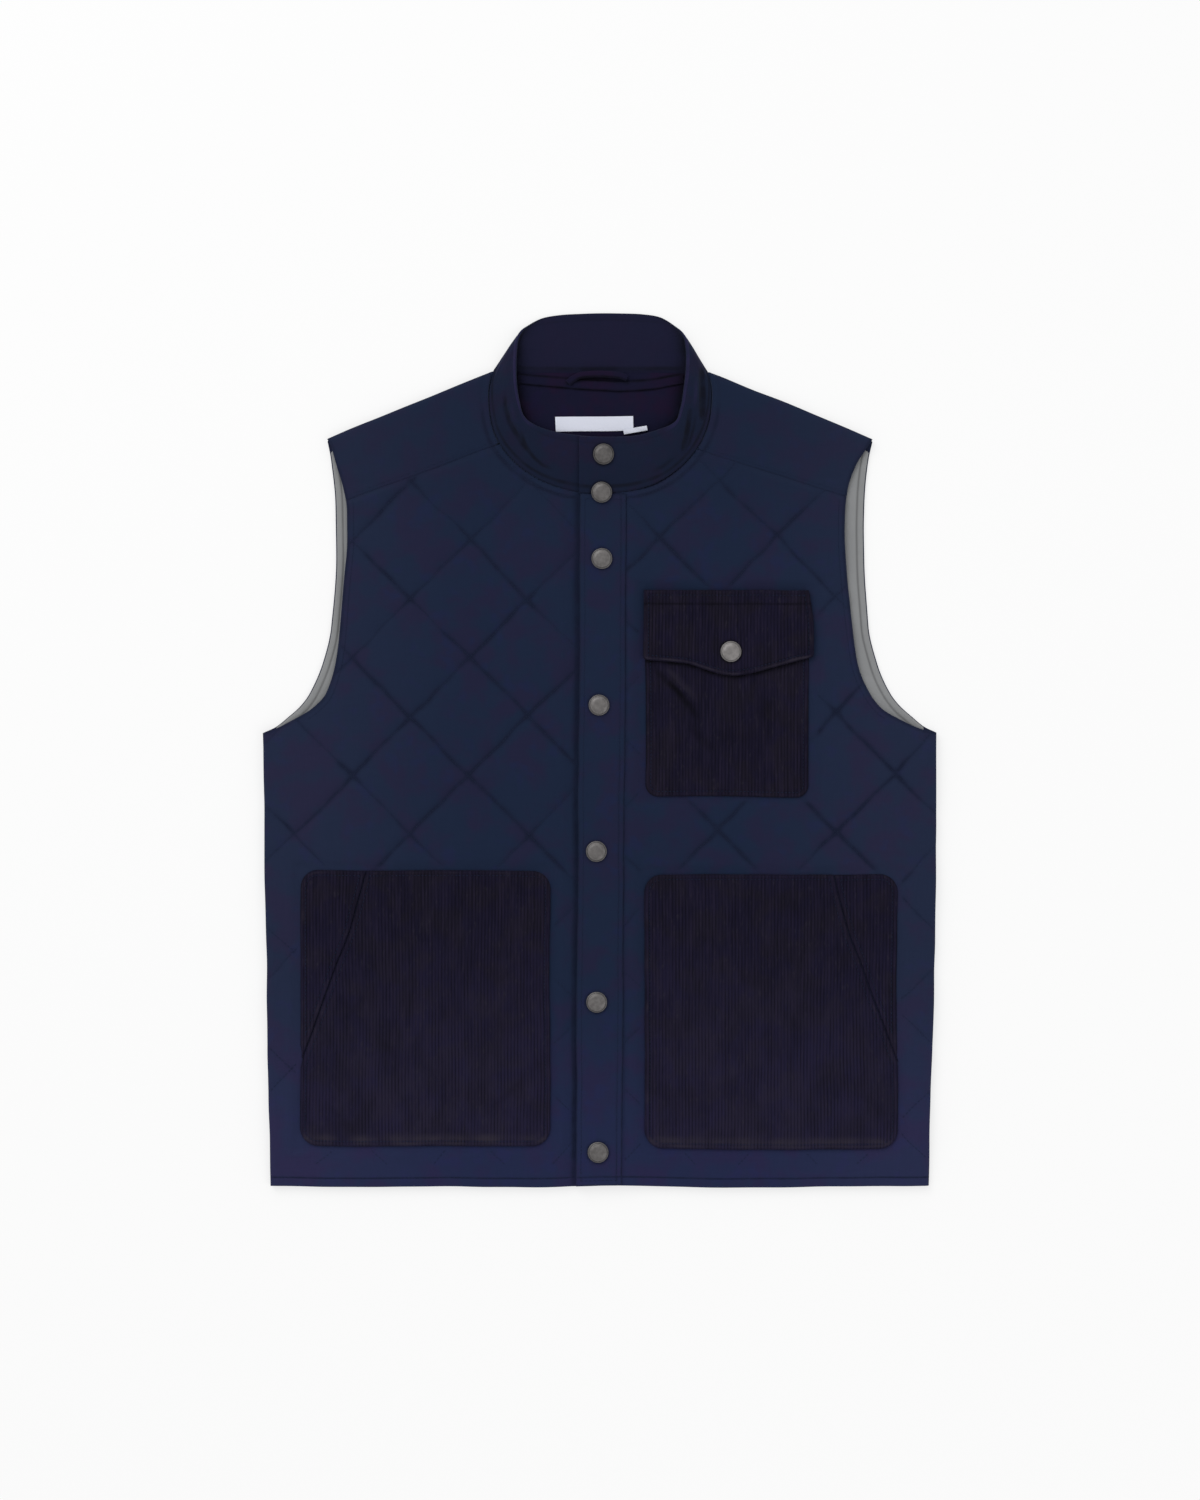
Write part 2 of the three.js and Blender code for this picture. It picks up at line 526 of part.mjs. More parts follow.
// The grey lining: flush with the armholes, short of the sides, shoulders and hem.
function liningPiece() {
  const half = (y) => {
    const side = backHalf(Math.min(y, ARMPIT_Y)) - LINING.insetFromSide;
    if (y <= ARMPIT_Y) return side;
    const armhole = y < SHOULDER_TIP.y ? backHalf(y) + LINING_BEYOND_ARMHOLE : Infinity;
    const raised = y + LINING.insetFromShoulder;
    const shoulder = raised > SHOULDER_TIP.y ? shoulderHalf(raised) : Infinity;
    const neck = y > LINING_NECK.fromY ? LINING_NECK.halfWidth : Infinity;
    return Math.min(side, armhole, shoulder, neck);
  };
  const bottomY = HEM_Y + LINING.insetFromHem;
  const armRows = OUTER_EDGE_BACK.map((row) => row.y).filter((y) => y > ARMPIT_Y + 1 && y < 250);
  const neckRows = [LINING_NECK.fromY - 1, LINING_NECK.fromY + 1, LINING_NECK.topY];
  const plainRows = [-240, -120, ARMPIT_Y - 12, ARMPIT_Y + 2, 135, 188, 256, 270, 283, 306];
  const heights = [bottomY, ...plainRows, ...armRows, ...neckRows];
  return clothPiece({
    name: "back_lining",
    finish: GREY_LINING,
    rows: fillRows({ heights: heights.sort((a, b) => a - b), left: (y) => -half(y), right: half, step: 120 }),
    top: () => LINING.top,
    bottom: () => LINING.bottom,
  });
}

// The navy facing inside the back neck: half an oval under the neck tape.
function facingPiece() {
  const half = (y) => {
    const share = clamp((FACING.centreY - y) / FACING.depth);
    return FACING.halfWidth * Math.sqrt(1 - share * share) + 0.5;
  };
  const lowest = FACING.centreY - FACING.depth;
  const heights = [0, 1, 3, 7, 13, 22, 34, 48, 64, 80].map((rise) => lowest + rise);
  return clothPiece({
    name: "back_neck_facing",
    finish: NAVY,
    rows: fillRows({ heights, left: (y) => -half(y), right: half, step: 20 }),
    top: () => FACING.top,
    bottom: () => FACING.bottom,
  });
}

// A flat strip along a path, of a width across the path and a thickness upwards.
function stripPiece(name, finish, path, width, thickness) {
  const vertices = [];
  const faces = [];
  path.forEach((point, at) => {
    const before = path[Math.max(0, at - 1)];
    const after = path[Math.min(path.length - 1, at + 1)];
    const length = Math.hypot(after.x - before.x, after.y - before.y);
    const [acrossX, acrossY] = [-(after.y - before.y) / length, (after.x - before.x) / length];
    for (const [side, rise] of [[-1, 0], [1, 0], [1, 1], [-1, 1]]) {
      const reach = (side * width) / 2;
      vertices.push([point.x + acrossX * reach, point.y + acrossY * reach, point.z + rise * thickness]);
    }
  });
  for (let at = 0; at < path.length - 1; at += 1) {
    for (let k = 0; k < 4; k += 1) {
      const [a, b] = [at * 4 + k, at * 4 + ((k + 1) % 4)];
      faces.push([a, b, b + 4], [a, b + 4, a + 4]);
    }
  }
  const end = (path.length - 1) * 4;
  faces.push([0, 2, 1], [0, 3, 2], [end, end + 1, end + 2], [end, end + 2, end + 3]);
  return closedMesh(name, finish, vertices, faces);
}

function neckTape() {
  const points = TAPE_PATH.map(({ x, y }) => new THREE.Vector3(x, y, NECK_TAPE.bottom));
  const path = new THREE.CatmullRomCurve3(points).getPoints(NECK_TAPE.steps);
  return stripPiece("neck_tape", NAVY, path, NECK_TAPE.width, NECK_TAPE.thickness);
}

// A label or tab: a thin plate, its ends level or sloped.
function plate(name, finish, { leftX, rightX, topY, bottomY, bottom, thickness, slope = 0 }) {
  const middle = (topY + bottomY) / 2;
  const half = (topY - bottomY) / 2;
  const path = [leftX, (leftX + rightX) / 2, rightX].map((x) => {
    return { x, y: middle + slope * (x - (leftX + rightX) / 2), z: bottom };
  });
  return stripPiece(name, finish, path, 2 * half, thickness);
}

// A patch on a front, made from the front's own surface, moved out.
const PATCH_STEP = 3 * GRID;
function patchPiece({ name, finish, side, heights, left, right, thickness, lift = GAP, origin = 0 }) {
  const outline = [...heights.map((y) => [left(y), y]), ...heights.map((y) => [right(y), y]).reverse()];
  outline.push(outline[0]);
  const under = (x, y) => frontTop(side, x, y) + lift;
  return clothPiece({
    name,
    finish,
    rows: fillRows({ heights, left, right, origin, step: PATCH_STEP, borders: [PATCH_ROUND.reach] }),
    top: (x, y) => under(x, y) + thickness - edgeDrop(distanceTo(outline, x, y), PATCH_ROUND),
    bottom: under,
    plainUnder: false,
  });
}

// How far a rounded corner pulls a side in at a height above the corner's end.
function cornerInset(radius, rise) {
  const short = clamp(1 - rise / radius);
  return radius * (1 - Math.sqrt(1 - short * short));
}

const CORNER_RISES = [0, 0.05, 0.2, 0.5, 1];

function lowerPocket(side) {
  const sign = side === "right" ? -1 : 1;
  const { innerX, outerX, topY, bottomY } = LOWER_POCKET[side];
  const radius = POCKET_CORNER_RADIUS;
  const entryEnd = topY + POCKET_ENTRY[0].y;
  const inset = (y) => Math.max(cornerInset(radius, y - bottomY), cornerInset(radius, topY - y));
  const entryX = (y) => readTable(POCKET_ENTRY, "x", y - topY);
  const innerAt = (y) => sign * (innerX + inset(y));
  const outerAt = (y) => sign * Math.min(outerX - inset(y), entryX(y) - GAP);
  const ordered = (a, b) => (side === "right" ? { left: b, right: a } : { left: a, right: b });
  const cornerRows = CORNER_RISES.flatMap((share) => [bottomY + share * radius, topY - share * radius]);
  const rows = (from, to, extra) => {
    const plain = latticeBetween(from, to, entryEnd, PATCH_STEP, 4);
    const all = [...extra.filter((y) => y >= from && y <= to), ...plain];
    return all.sort((a, b) => a - b).filter((y, at) => at === 0 || y - all[at - 1] > 0.5);
  };
  const cornerOuter = (y) => sign * (outerX - inset(y));
  const cornerInner = (y) => sign * (entryX(y) + GAP);
  return [
    patchPiece({
      name: `lower_pocket_${side}`,
      finish: CORDUROY,
      side,
      heights: rows(bottomY, topY, [entryEnd - 6, ...cornerRows]),
      ...ordered(innerAt, outerAt),
      thickness: POCKET_THICKNESS,
    }),
    patchPiece({
      name: `pocket_corner_${side}`,
      finish: CORDUROY,
      side,
      heights: rows(entryEnd + 6, topY, [entryEnd + 6, ...cornerRows]),
      ...ordered(cornerInner, cornerOuter),
      thickness: CORNER_THICKNESS,
    }),
  ];
}

function chestPocket() {
  const { innerX, outerX, topY, bottomY, radius, thickness } = CHEST_POCKET;
  const inset = (y) => cornerInset(radius, y - bottomY);
  const cornerRows = CORNER_RISES.map((share) => bottomY + share * radius);
  return patchPiece({
    name: "chest_pocket",
    finish: CORDUROY,
    side: "left",
    heights: [...cornerRows, ...latticeBetween(bottomY + radius, topY, 0, 2 * GRID, 4), topY],
    left: (y) => innerX + inset(y),
    right: (y) => outerX - inset(y),
    thickness,
  });
}

const CHEST_FLAP_LIFT = GAP + CHEST_POCKET.thickness + GAP;

function chestFlap() {
  const { topY, thickness } = CHEST_FLAP;
  return patchPiece({
    name: "chest_flap",
    finish: CORDUROY,
    side: "left",
    heights: [...FLAP_EDGE.map((row) => row.y), 92, 121, topY - PATCH_ROUND.reach].sort((a, b) => a - b),
    left: (y) => readTable(FLAP_EDGE, "left", y),
    right: (y) => readTable(FLAP_EDGE, "right", y),
    thickness,
    lift: CHEST_FLAP_LIFT,
  });
}

function placketPiece() {
  const hemRows = [0.4, 1.5, 3, 5, 8].map((rise) => HEM_Y + rise);
  const heights = [...hemRows, ...latticeBetween(HEM_Y, PLACKET.topY, 0, PATCH_STEP, 14), PLACKET.topY];
  const outlineLeft = (y) => placketLeftX(y) - 0.2;
  return patchPiece({
    name: "placket",
    finish: NAVY,
    side: "left",
    heights,
    left: outlineLeft,
    right: (y) => outlineLeft(y) + PLACKET.width,
    thickness: PLACKET.thickness,
  });
}

// Where the collar's middle surface lies: columns of points from the neck seam to the top edge.
function collarColumns() {
  const pathOf = (x, y, z) => {
    return new THREE.CatmullRomCurve3(COLLAR.map((row) => new THREE.Vector3(row[x], row[y], row[z])));
  };
  const seam = pathOf("seamX", "seamY", "seamZ");
  const edge = pathOf("edgeX", "edgeY", "edgeZ");
  const shares = Array.from({ length: COLLAR_STEPS_AROUND + 1 }, (_, i) => i / COLLAR_STEPS_AROUND);
  return shares.map((share) => {
    const [foot, head] = [seam.getPoint(share), edge.getPoint(share)];
    const levels = Array.from({ length: COLLAR_STEPS_UP + 1 }, (_, j) => j / COLLAR_STEPS_UP);
    return levels.map((level) => foot.clone().lerp(head, level));
  });
}

// The outward normal of the collar's middle surface at one of its points.
function collarNormal(columns, i, j) {
  const around = columns[Math.min(i + 1, COLLAR_STEPS_AROUND)][j].clone().sub(columns[Math.max(i - 1, 0)][j]);
  const up = columns[i][Math.min(j + 1, COLLAR_STEPS_UP)].clone().sub(columns[i][Math.max(j - 1, 0)]);
  return up.cross(around).normalize();
}

// The collar: its middle surface bulged outwards off the table and thickened both ways.
function collarPiece() {
  const columns = collarColumns();
  const vertices = [];
  const layer = (sign) => {
    return columns.map((column, i) => column.map((point, j) => {
      const standing = clamp((point.z - 3) / 3);
      const bulge = COLLAR_BULGE * Math.sin((Math.PI * j) / COLLAR_STEPS_UP) * standing;
      const outwards = (sign * COLLAR_THICKNESS) / 2 + bulge;
      const moved = point.clone().addScaledVector(collarNormal(columns, i, j), outwards);
      vertices.push([moved.x, moved.y, Math.max(moved.z, 0)]);
      return vertices.length - 1;
    }));
  };
  const [outer, inner] = [layer(1), layer(-1)];
  const [last, top] = [COLLAR_STEPS_AROUND, COLLAR_STEPS_UP];
  const faces = [];
  const quad = (a, b, c, d) => faces.push([a, b, c], [a, c, d]);
  for (let i = 0; i < last; i += 1) {
    for (let j = 0; j < top; j += 1) {
      quad(outer[i][j], outer[i][j + 1], outer[i + 1][j + 1], outer[i + 1][j]);
      quad(inner[i][j], inner[i + 1][j], inner[i + 1][j + 1], inner[i][j + 1]);
    }
    quad(outer[i][0], outer[i + 1][0], inner[i + 1][0], inner[i][0]);
    quad(outer[i][top], inner[i][top], inner[i + 1][top], outer[i + 1][top]);
  }
  for (let j = 0; j < top; j += 1) {
    quad(outer[0][j], inner[0][j], inner[0][j + 1], outer[0][j + 1]);
    quad(outer[last][j], outer[last][j + 1], inner[last][j + 1], inner[last][j]);
  }
  return closedMesh("collar", NAVY, vertices, faces);
}

// A snap cap: a turned disc with a rounded rim and a low dome.
function snapCap(name, { x, y, z, lean = 0 }) {
  const profile = [
    [0, 0],
    [SNAP.radius - 0.5, 0],
    [SNAP.radius, SNAP.rimHeight * 0.5],
    [SNAP.radius - 0.3, SNAP.rimHeight],
    [SNAP.radius * 0.86, SNAP.height * 0.82],
    [0, SNAP.height],
  ];
  const turned = new THREE.LatheGeometry(
    profile.map(([radius, height]) => new THREE.Vector2(radius, height)),
    SNAP.sides,
  );
  const mesh = new THREE.Mesh(turned, new THREE.MeshStandardMaterial(GUNMETAL));
  mesh.rotation.x = Math.PI / 2 + lean;
  mesh.position.set(x, y, z);
  mesh.name = name;
  return mesh;
}

function snaps() {
  const placketTop = (spot) => frontTop("left", spot.x, spot.y) + GAP + PLACKET.thickness + GAP;
  const flapTop = frontTop("left", CHEST_SNAP.x, CHEST_SNAP.y) + CHEST_FLAP_LIFT + CHEST_FLAP.thickness + GAP;
  const spots = [COLLAR_SNAP, NECK_SNAP, ...PLACKET_SNAPS.map((spot) => ({ ...spot, z: placketTop(spot) }))];
  return [
    ...spots.map((spot, at) => snapCap(`snap_${at + 1}`, spot)),
    snapCap("snap_chest", { ...CHEST_SNAP, z: flapTop }),
  ];
}

const vest = new THREE.Group();
vest.add(
  backPiece(),
  liningPiece(),
  facingPiece(),
  neckTape(),
  stripPiece("hanger_loop", NAVY, LOOP_PATH, LOOP.width, LOOP.thickness),
  plate("neck_label", WHITE_TAPE, NECK_LABEL),
  plate("size_tab", WHITE_TAPE, SIZE_TAB),
  frontPiece("right"),
  frontPiece("left"),
  yokePiece("right"),
  yokePiece("left"),
  placketPiece(),
  collarPiece(),
  chestPocket(),
  chestFlap(),
  ...lowerPocket("right"),
  ...lowerPocket("left"),
  ...snaps(),
);

export default vest;
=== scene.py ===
# A quilted vest with a stand collar, laid flat on its back and fastened with snaps.
# Tables and surfaces are in millimetres, and a mesh is turned into metres when it is made.
# "Right" and "left" are the wearer's, so the right front lies at negative X.
import math
from functools import partial

import bmesh
import bpy
import numpy as np
from bpy.props import FloatProperty, FloatVectorProperty, PointerProperty
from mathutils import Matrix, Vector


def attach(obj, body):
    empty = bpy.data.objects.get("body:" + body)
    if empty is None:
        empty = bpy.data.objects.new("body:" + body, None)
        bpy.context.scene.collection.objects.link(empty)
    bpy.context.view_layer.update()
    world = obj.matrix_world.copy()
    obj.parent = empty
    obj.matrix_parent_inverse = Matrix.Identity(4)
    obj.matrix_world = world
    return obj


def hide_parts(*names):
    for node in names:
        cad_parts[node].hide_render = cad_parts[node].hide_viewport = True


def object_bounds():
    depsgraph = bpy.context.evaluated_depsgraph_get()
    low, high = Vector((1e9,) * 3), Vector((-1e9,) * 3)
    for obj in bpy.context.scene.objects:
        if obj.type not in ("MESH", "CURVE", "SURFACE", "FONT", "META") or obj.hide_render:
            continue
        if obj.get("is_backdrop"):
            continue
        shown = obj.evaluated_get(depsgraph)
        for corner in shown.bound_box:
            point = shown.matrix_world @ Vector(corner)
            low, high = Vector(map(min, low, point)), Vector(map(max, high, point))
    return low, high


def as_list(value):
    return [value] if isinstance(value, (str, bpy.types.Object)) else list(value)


bl_info = {
    "name": "Quilted vest",
    "version": (1, 0, 0),
    "blender": (4, 5, 0),
    "location": "3D View > Sidebar > Vest",
    "description": "Builds a quilted vest laid flat, its stitching and the stage it lies on",
    "category": "Add Mesh",
}

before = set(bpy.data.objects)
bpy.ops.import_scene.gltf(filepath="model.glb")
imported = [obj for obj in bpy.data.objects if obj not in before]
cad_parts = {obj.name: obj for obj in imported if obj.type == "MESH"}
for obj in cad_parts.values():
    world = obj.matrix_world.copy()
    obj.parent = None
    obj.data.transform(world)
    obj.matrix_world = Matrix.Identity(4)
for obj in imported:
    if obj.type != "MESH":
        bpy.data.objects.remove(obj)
FRAME_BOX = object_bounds()

MM = 0.001
GAP = 0.3
SIGN = {"right": -1, "left": 1}

# Body outline: half widths from the centre line at heights along Y
HEM_Y = -370
ARMPIT_Y = 15
TIP = (232, 265)
NECK_POINT = (91, 323)
BACK_NECK_Y = 319
SIDE_HEIGHTS = [HEM_Y, -255, -127, ARMPIT_Y]
SIDE = {
    "back": [279.7, 282.4, 285.2, 286.5],
    "right": [280.4, 282.4, 284.8, 286.5],
    "left": [279, 282.4, 285.6, 286.5],
}
FRONT_ARMHOLE_HEIGHTS = [ARMPIT_Y, 18, 24, 36, 49, 76, 108, 150, 181, 204, 222, 242, 259, TIP[1]]
ARMHOLE_HEIGHTS = {
    "back": [ARMPIT_Y, 20, 28, 38, 49, 74, 105, 163, 210, 247, TIP[1]],
    "right": FRONT_ARMHOLE_HEIGHTS,
    "left": FRONT_ARMHOLE_HEIGHTS,
}
ARMHOLE = {
    "back": [286.5, 276, 266, 255, 247, 236, 228.5, 225, 225.5, 228.5, TIP[0]],
    "right": [286.5, 277, 265, 245, 233, 224.5, 220.5, 217.5, 215.3, 215.4, 218, 223.5, 228.5, 231.7],
    "left": [286.5, 273, 259, 239, 229.5, 218.5, 214, 210, 208.6, 209, 211, 217.5, 227.5, 231.5],
}

# Neck seam: the lower half of a rounded oval. Yoke seam: a straight line from it to the armhole
NECK = {"half_width": 95.6, "centre_y": 302, "lowest_y": 218.5, "roundness": 2.2}
YOKE_SEAM = {
    "right": {"neck": (84.6, 261.3), "armhole": (216, 213)},
    "left": {"neck": (86.5, 255), "armhole": (210, 216)},
}

# Layers, as heights above the floor, and how far each lies inside or past the body's outline
BACK_TOP = 2.4
BACK_RIM = {"rise": 1.5, "shoulder_share": 0.55, "start": 3, "end": 7}
BACK_SHOULDER = {"inner": (99, 115), "outer": (200, 212)}
LINING = {"bottom": 2.7, "top": 3.6, "side": 11, "hem": 8, "shoulder": 12, "shell_shows": 0.9}
LINING_SEAM = 6.2
LINING_WRINKLE = {"height": 0.16, "length": 2.1, "highest": 3.88}
LINING_NECK = {"from_y": 296, "top_y": 315, "half_width": 82}
FACING = {"bottom": 3.9, "top": 4.9, "half_width": 83, "centre_y": 302, "depth": 66, "top_y": 321.5}
FRONT = {"bottom": 4.2, "top": 6.9}
UNDERLAP = {"top": 5.7, "edge_x": 12}
OVERLAP = {"bottom": 6.1, "top": 8.3}
NECK_ALLOWANCE = {"reach": 2.6, "rise": 0.55}
LAP_FADE = {"right": (-34, -24), "left": (44, 24), "under": (22, 32)}
LAP_PRESS = {"right": (-25, -20), "left": (25, 20)}
YOKE_RISE = 0.5
YOKE_BELOW_NECK_POINT = 0.6
# Half of the gap between a front and its yoke
SEWN_GAP = 0.1

# Quarter rounds at folds, free edges, seams and patch edges: how far each drops, over what reach
FOLD_ROUND = (1.9, 7)
FREE_ROUND = (0.9, 4)
UNDER_ROUND = (0.5, 1.5)
BACK_ROUND = (1.5, 5)
LINING_ROUND = (0.5, 1.2)
SEAM_ROUND = (0.3, 4)
NECK_ROUND = (0.2, 1.5)
PATCH_ROUND = (0.7, 1.5)

# Quilting: lines at 45 degrees both ways through one crossing given for each panel
QUILT_DIAGONAL = 100
QUILT_LINES = 18
QUILT_LINE_REACH = 900
QUILT_GROOVE = {"share": 0.42, "width": 4.6, "fullness": 0.85}
QUILT_DRIFT = {"long": 1.7, "short": 0.95}
# Where the sewn lines pull the cloth in most
QUILT_PULLED = {
    "right": [
        [(-206, 73), (-161, 30), (-115, -21), (-34, -97)],
        [(-127, 94), (-64, 30), (-25, -8)],
        [(-115, 81), (-55, 124)],
        [(-102, -12), (-25, 56)],
        [(-263, -59), (-200, -2), (-136, 60)],
        [(-195, -97), (-115, -25)],
        [(-110, 179), (-55, 124)],
        [(-195, 162), (-161, 132)],
        [(-195, 196), (-157, 226)],
    ],
    "left": [
        [(25, 158), (85, 204), (110, 221)],
        [(110, 147), (170, 196)],
        [(123, 196), (170, 149)],
        [(42, 187), (81, 149)],
        [(183, 13), (217, 43)],
        [(208, 22), (268, -29)],
        [(170, -42), (251, -106)],
        [(191, -76), (255, -25)],
        [(55, -106), (127, -42)],
        [(64, -46), (123, -89)],
    ],
    "back": [[(-150, 100), (-50, 0)], [(60, 40), (160, -60)]],
}
PULL_REACH = 11
# Where two quilting lines cross, and the spacing of the points that show the quilting
QUILT_CROSSING = {"right": (-11, -21), "left": (50.5, -18.5), "back": (0, -20)}
FRONT_STEP = QUILT_DIAGONAL / 50
BACK_STEP = QUILT_DIAGONAL / 30
PRESS_FADE = (1.5, 10)
SEAM_PRESS = 5
HEM_PRESS = (12, 34)
PUCKER = {"height": 0.14, "length": 9, "reach": 7}
HEM_STITCH_RISE = 7.5

# Sewing: how deep it sinks and how dark it looks, each as (depth, width)
SEWN_RELIEF = {"hem": (0.35, 1.0), "band": (0.35, 1.1)}
# The armhole's dark mark is painted shadow along the front's edge.
SEAM_MARKS = {
    "yoke": (0.35, 1.6), "neck": (0.25, 2.2), "arm": (0.7, 1.8), "band": (0.95, 2), "hem": (0.8, 0.9),
}
# Shadow of the placket on each front: depth, distance from the placket's edge and width
PLACKET_SHADOW = {"right": (0.85, 2.6, 2.4), "left": (0.45, 0.9, 1.2)}
# The sewn band outside the neck seam: its width, and the height from which the fronts show it
NECK_BAND = 5.6
BAND_FROM_Y = 214
# Thread: how far it lies over the surface, its guide's spacing, how many points of it are too few to
# sew, and what share of the pitch a stitch fills
THREAD_LIFT = 0.08
GUIDE_STEP = 1.6
SHORT_RUN = 4
STITCH_SHARE = 0.82
HEM_THREAD = {"start": {"right": 24, "left": 14}, "end": 276}
YOKE_THREAD_RISE = 3.2
ARM_THREAD = {"inset": 5.5, "start_y": 26}

# Meshes: the angle in degrees above which an edge is sharp, the thinnest wall, how steep an edge may
# count between rows, and how near two diagonals are when the higher one is taken
SHARP_ANGLE = 55
THINNEST = 0.05
STEEPEST = 3.5
SLANT_REACH = 0.8
EVEN_DIAGONALS = 0.02

# Rows and columns of points: close together at edges, at the hem and where the neck seam starts
BORDERS = (0.25, 0.7, 1.4, 2.1, 2.6, 2.9, 3.2, 3.8, 4.8, 6.2)
BACK_BORDERS = (0.4, 1.2, 2.4, 4, 6)
LINING_BORDERS = (0.3, 0.8, 1.4, 2.2, 3.2, 4.2, 4.8, 5.3, 5.8, 6.4, 7.2, 8.4, 10, 12, 14.5, 18)
FACING_BORDERS = (0.4, 1.2, 2.4)
RIBBED_BORDERS = (0.3, 0.8, 1.4)
PLAIN_BORDERS = (0.3, 0.8, 1.4, 2.4)
HEM_RISES = (0, 0.25, 0.7, 1.4, 2.4, 3.6, 5.0, 6.2, 6.9, 7.5, 8.1, 8.8)
NECK_STARTS = (-0.4, 0, 0.15, 0.3, 0.5, 1.2, 1.9)
NECK_RISES = (0, 0.12, 0.35, 0.7, 1.2, 1.9, 2.8, 4, 5.5, 7.2, 9, 11, 13)
CORNER_SHARES = (0, 0.012, 0.04, 0.09, 0.16, 0.26, 0.4, 0.6, 0.8, 1)

# The back's own yoke seam, and the one soft crease in each front yoke
BACK_YOKE_Y = 190
YOKE_CREASES = {
    "right": [{"path": [(-222, 232), (-205, 226), (-188, 230)], "depth": 0.45, "width": 3}],
    "left": [{"path": [(214, 236), (200, 231), (182, 233)], "depth": 0.45, "width": 3}],
}

# Placket and patches: distances from the centre line and heights
PLACKET = {"top_x": -16.5, "hem_x": -20.4, "width": 39, "thickness": 1.2, "top_y": 218}
LOWER_POCKET = {
    "right": {"inner": 42.5, "outer": 254.5, "top": -102, "bottom": -335},
    "left": {"inner": 38, "outer": 252.5, "top": -105.5, "bottom": -338},
}
POCKET_CORNER_RADIUS = 15
# The slanted hand entry: distances below the pocket's top, and from the centre line
POCKET_ENTRY = [(-160, 253), (-134.5, 243.7), (-108, 234), (-81, 223.8), (-52.5, 212.5), (-26, 205), (0, 199)]
POCKET_THICKNESS = 1.8
CORNER_THICKNESS = 1.1
CHEST_POCKET = {"inner": 38.8, "outer": 177.2, "top": 118, "bottom": -39.5, "radius": 11, "thickness": 1.4}
CHEST_FLAP = {"inner": 37.2, "outer": 181.4, "top": 136.4, "side_y": 79.5, "thickness": 1.6}
FLAP_EDGE = {
    "left": [
        (112.9, 63.3), (104, 64.4), (97.7, 66), (86, 70), (74.7, 73.5), (57, 75.3), (38.6, 77.5), (37.2, 79),
    ],
    "right": [
        (114.9, 63.3), (122, 64), (128.9, 65.3), (150.5, 70.7), (166, 75), (179.8, 79), (181.2, 81),
        (181.4, 105), (179.8, 122), (177.4, 136.4),
    ],
}
FLAP_SEAM_Y = 124.5
FLAP_LIFT = GAP + CHEST_POCKET["thickness"] + GAP + 0.35
EDGE_STITCH = 4.3
CORDUROY_STEP = 6
PLAIN_STEP = 2
CHEST_CREASES = [
    {"path": [(44, 73), (50, 66.3), (58, 58), (66, 51), (77, 38), (86, 24)], "depth": 1.0, "width": 3.4},
    {"path": [(54, 72), (64, 62), (76, 50), (84, 40)], "depth": -0.7, "width": 3.6},
    {"path": [(150, 60), (140, 30), (143, 0)], "depth": 0.4, "width": 7},
    {"path": [(95, 20), (112, 8), (128, 12)], "depth": 0.35, "width": 6},
    {"path": [(70, 30), (84, 12), (92, 4), (104, 0)], "depth": 0.5, "width": 5},
]

# Collar: stations from the under end round the back to the over end, each from seam to top edge
COLLAR_STATIONS = [
    (17, 219.8, 5.4, 17, 266, 8.4),
    (0, 219.6, 5.4, 0, 266, 8.6),
    (-22, 221.2, 5.6, -30, 269, 10),
    (-40, 225.7, 5.8, -52, 274.5, 12),
    (-57, 233.6, 6, -64, 283, 14),
    (-72.9, 246.2, 6, -68.5, 297, 15.5),
    (-85.9, 264.3, 6, -70.8, 313, 16),
    (-92.6, 284.9, 6, -71.3, 330, 14),
    (-94, 303, 5.6, -70.5, 346, 10),
    (-92.3, 315, 4.8, -68, 355, 6.4),
    (-89.5, 323.5, 3.4, -62.5, 361.5, 3.6),
    (-80, 322.5, 1.7, -50, 368.4, 1.6),
    (-64, 320.6, 1.2, -34, 371.2, 1.2),
    (-32, 319.8, 1.2, -16, 372, 1.2),
    (0, 319.8, 1.2, 0, 372.2, 1.2),
    (32, 319.8, 1.2, 16, 372, 1.2),
    (64, 320.6, 1.2, 36, 371.2, 1.2),
    (80, 322.5, 1.7, 52, 368.4, 1.6),
    (89.5, 323, 3.4, 64, 360.5, 3.6),
    (92.5, 314.5, 4.8, 70, 353.5, 6.4),
    (94.1, 303, 5.6, 72.4, 344, 10),
    (92.6, 284.9, 6, 72.8, 328, 14),
    (85.9, 264.3, 6.2, 71.5, 312, 16),
    (72.9, 246.2, 6.6, 69, 293, 16.4),
    (57, 233.6, 7.2, 64, 279.5, 15.6),
    (41, 226, 7.8, 48, 272, 14.4),
    (24, 221.4, 8.2, 28, 267, 13),
    (0, 219.6, 8.4, 0, 266.3, 12),
    (-17.8, 219.6, 8.4, -17.8, 266.4, 12),
]
COLLAR_THICKNESS = 2.4
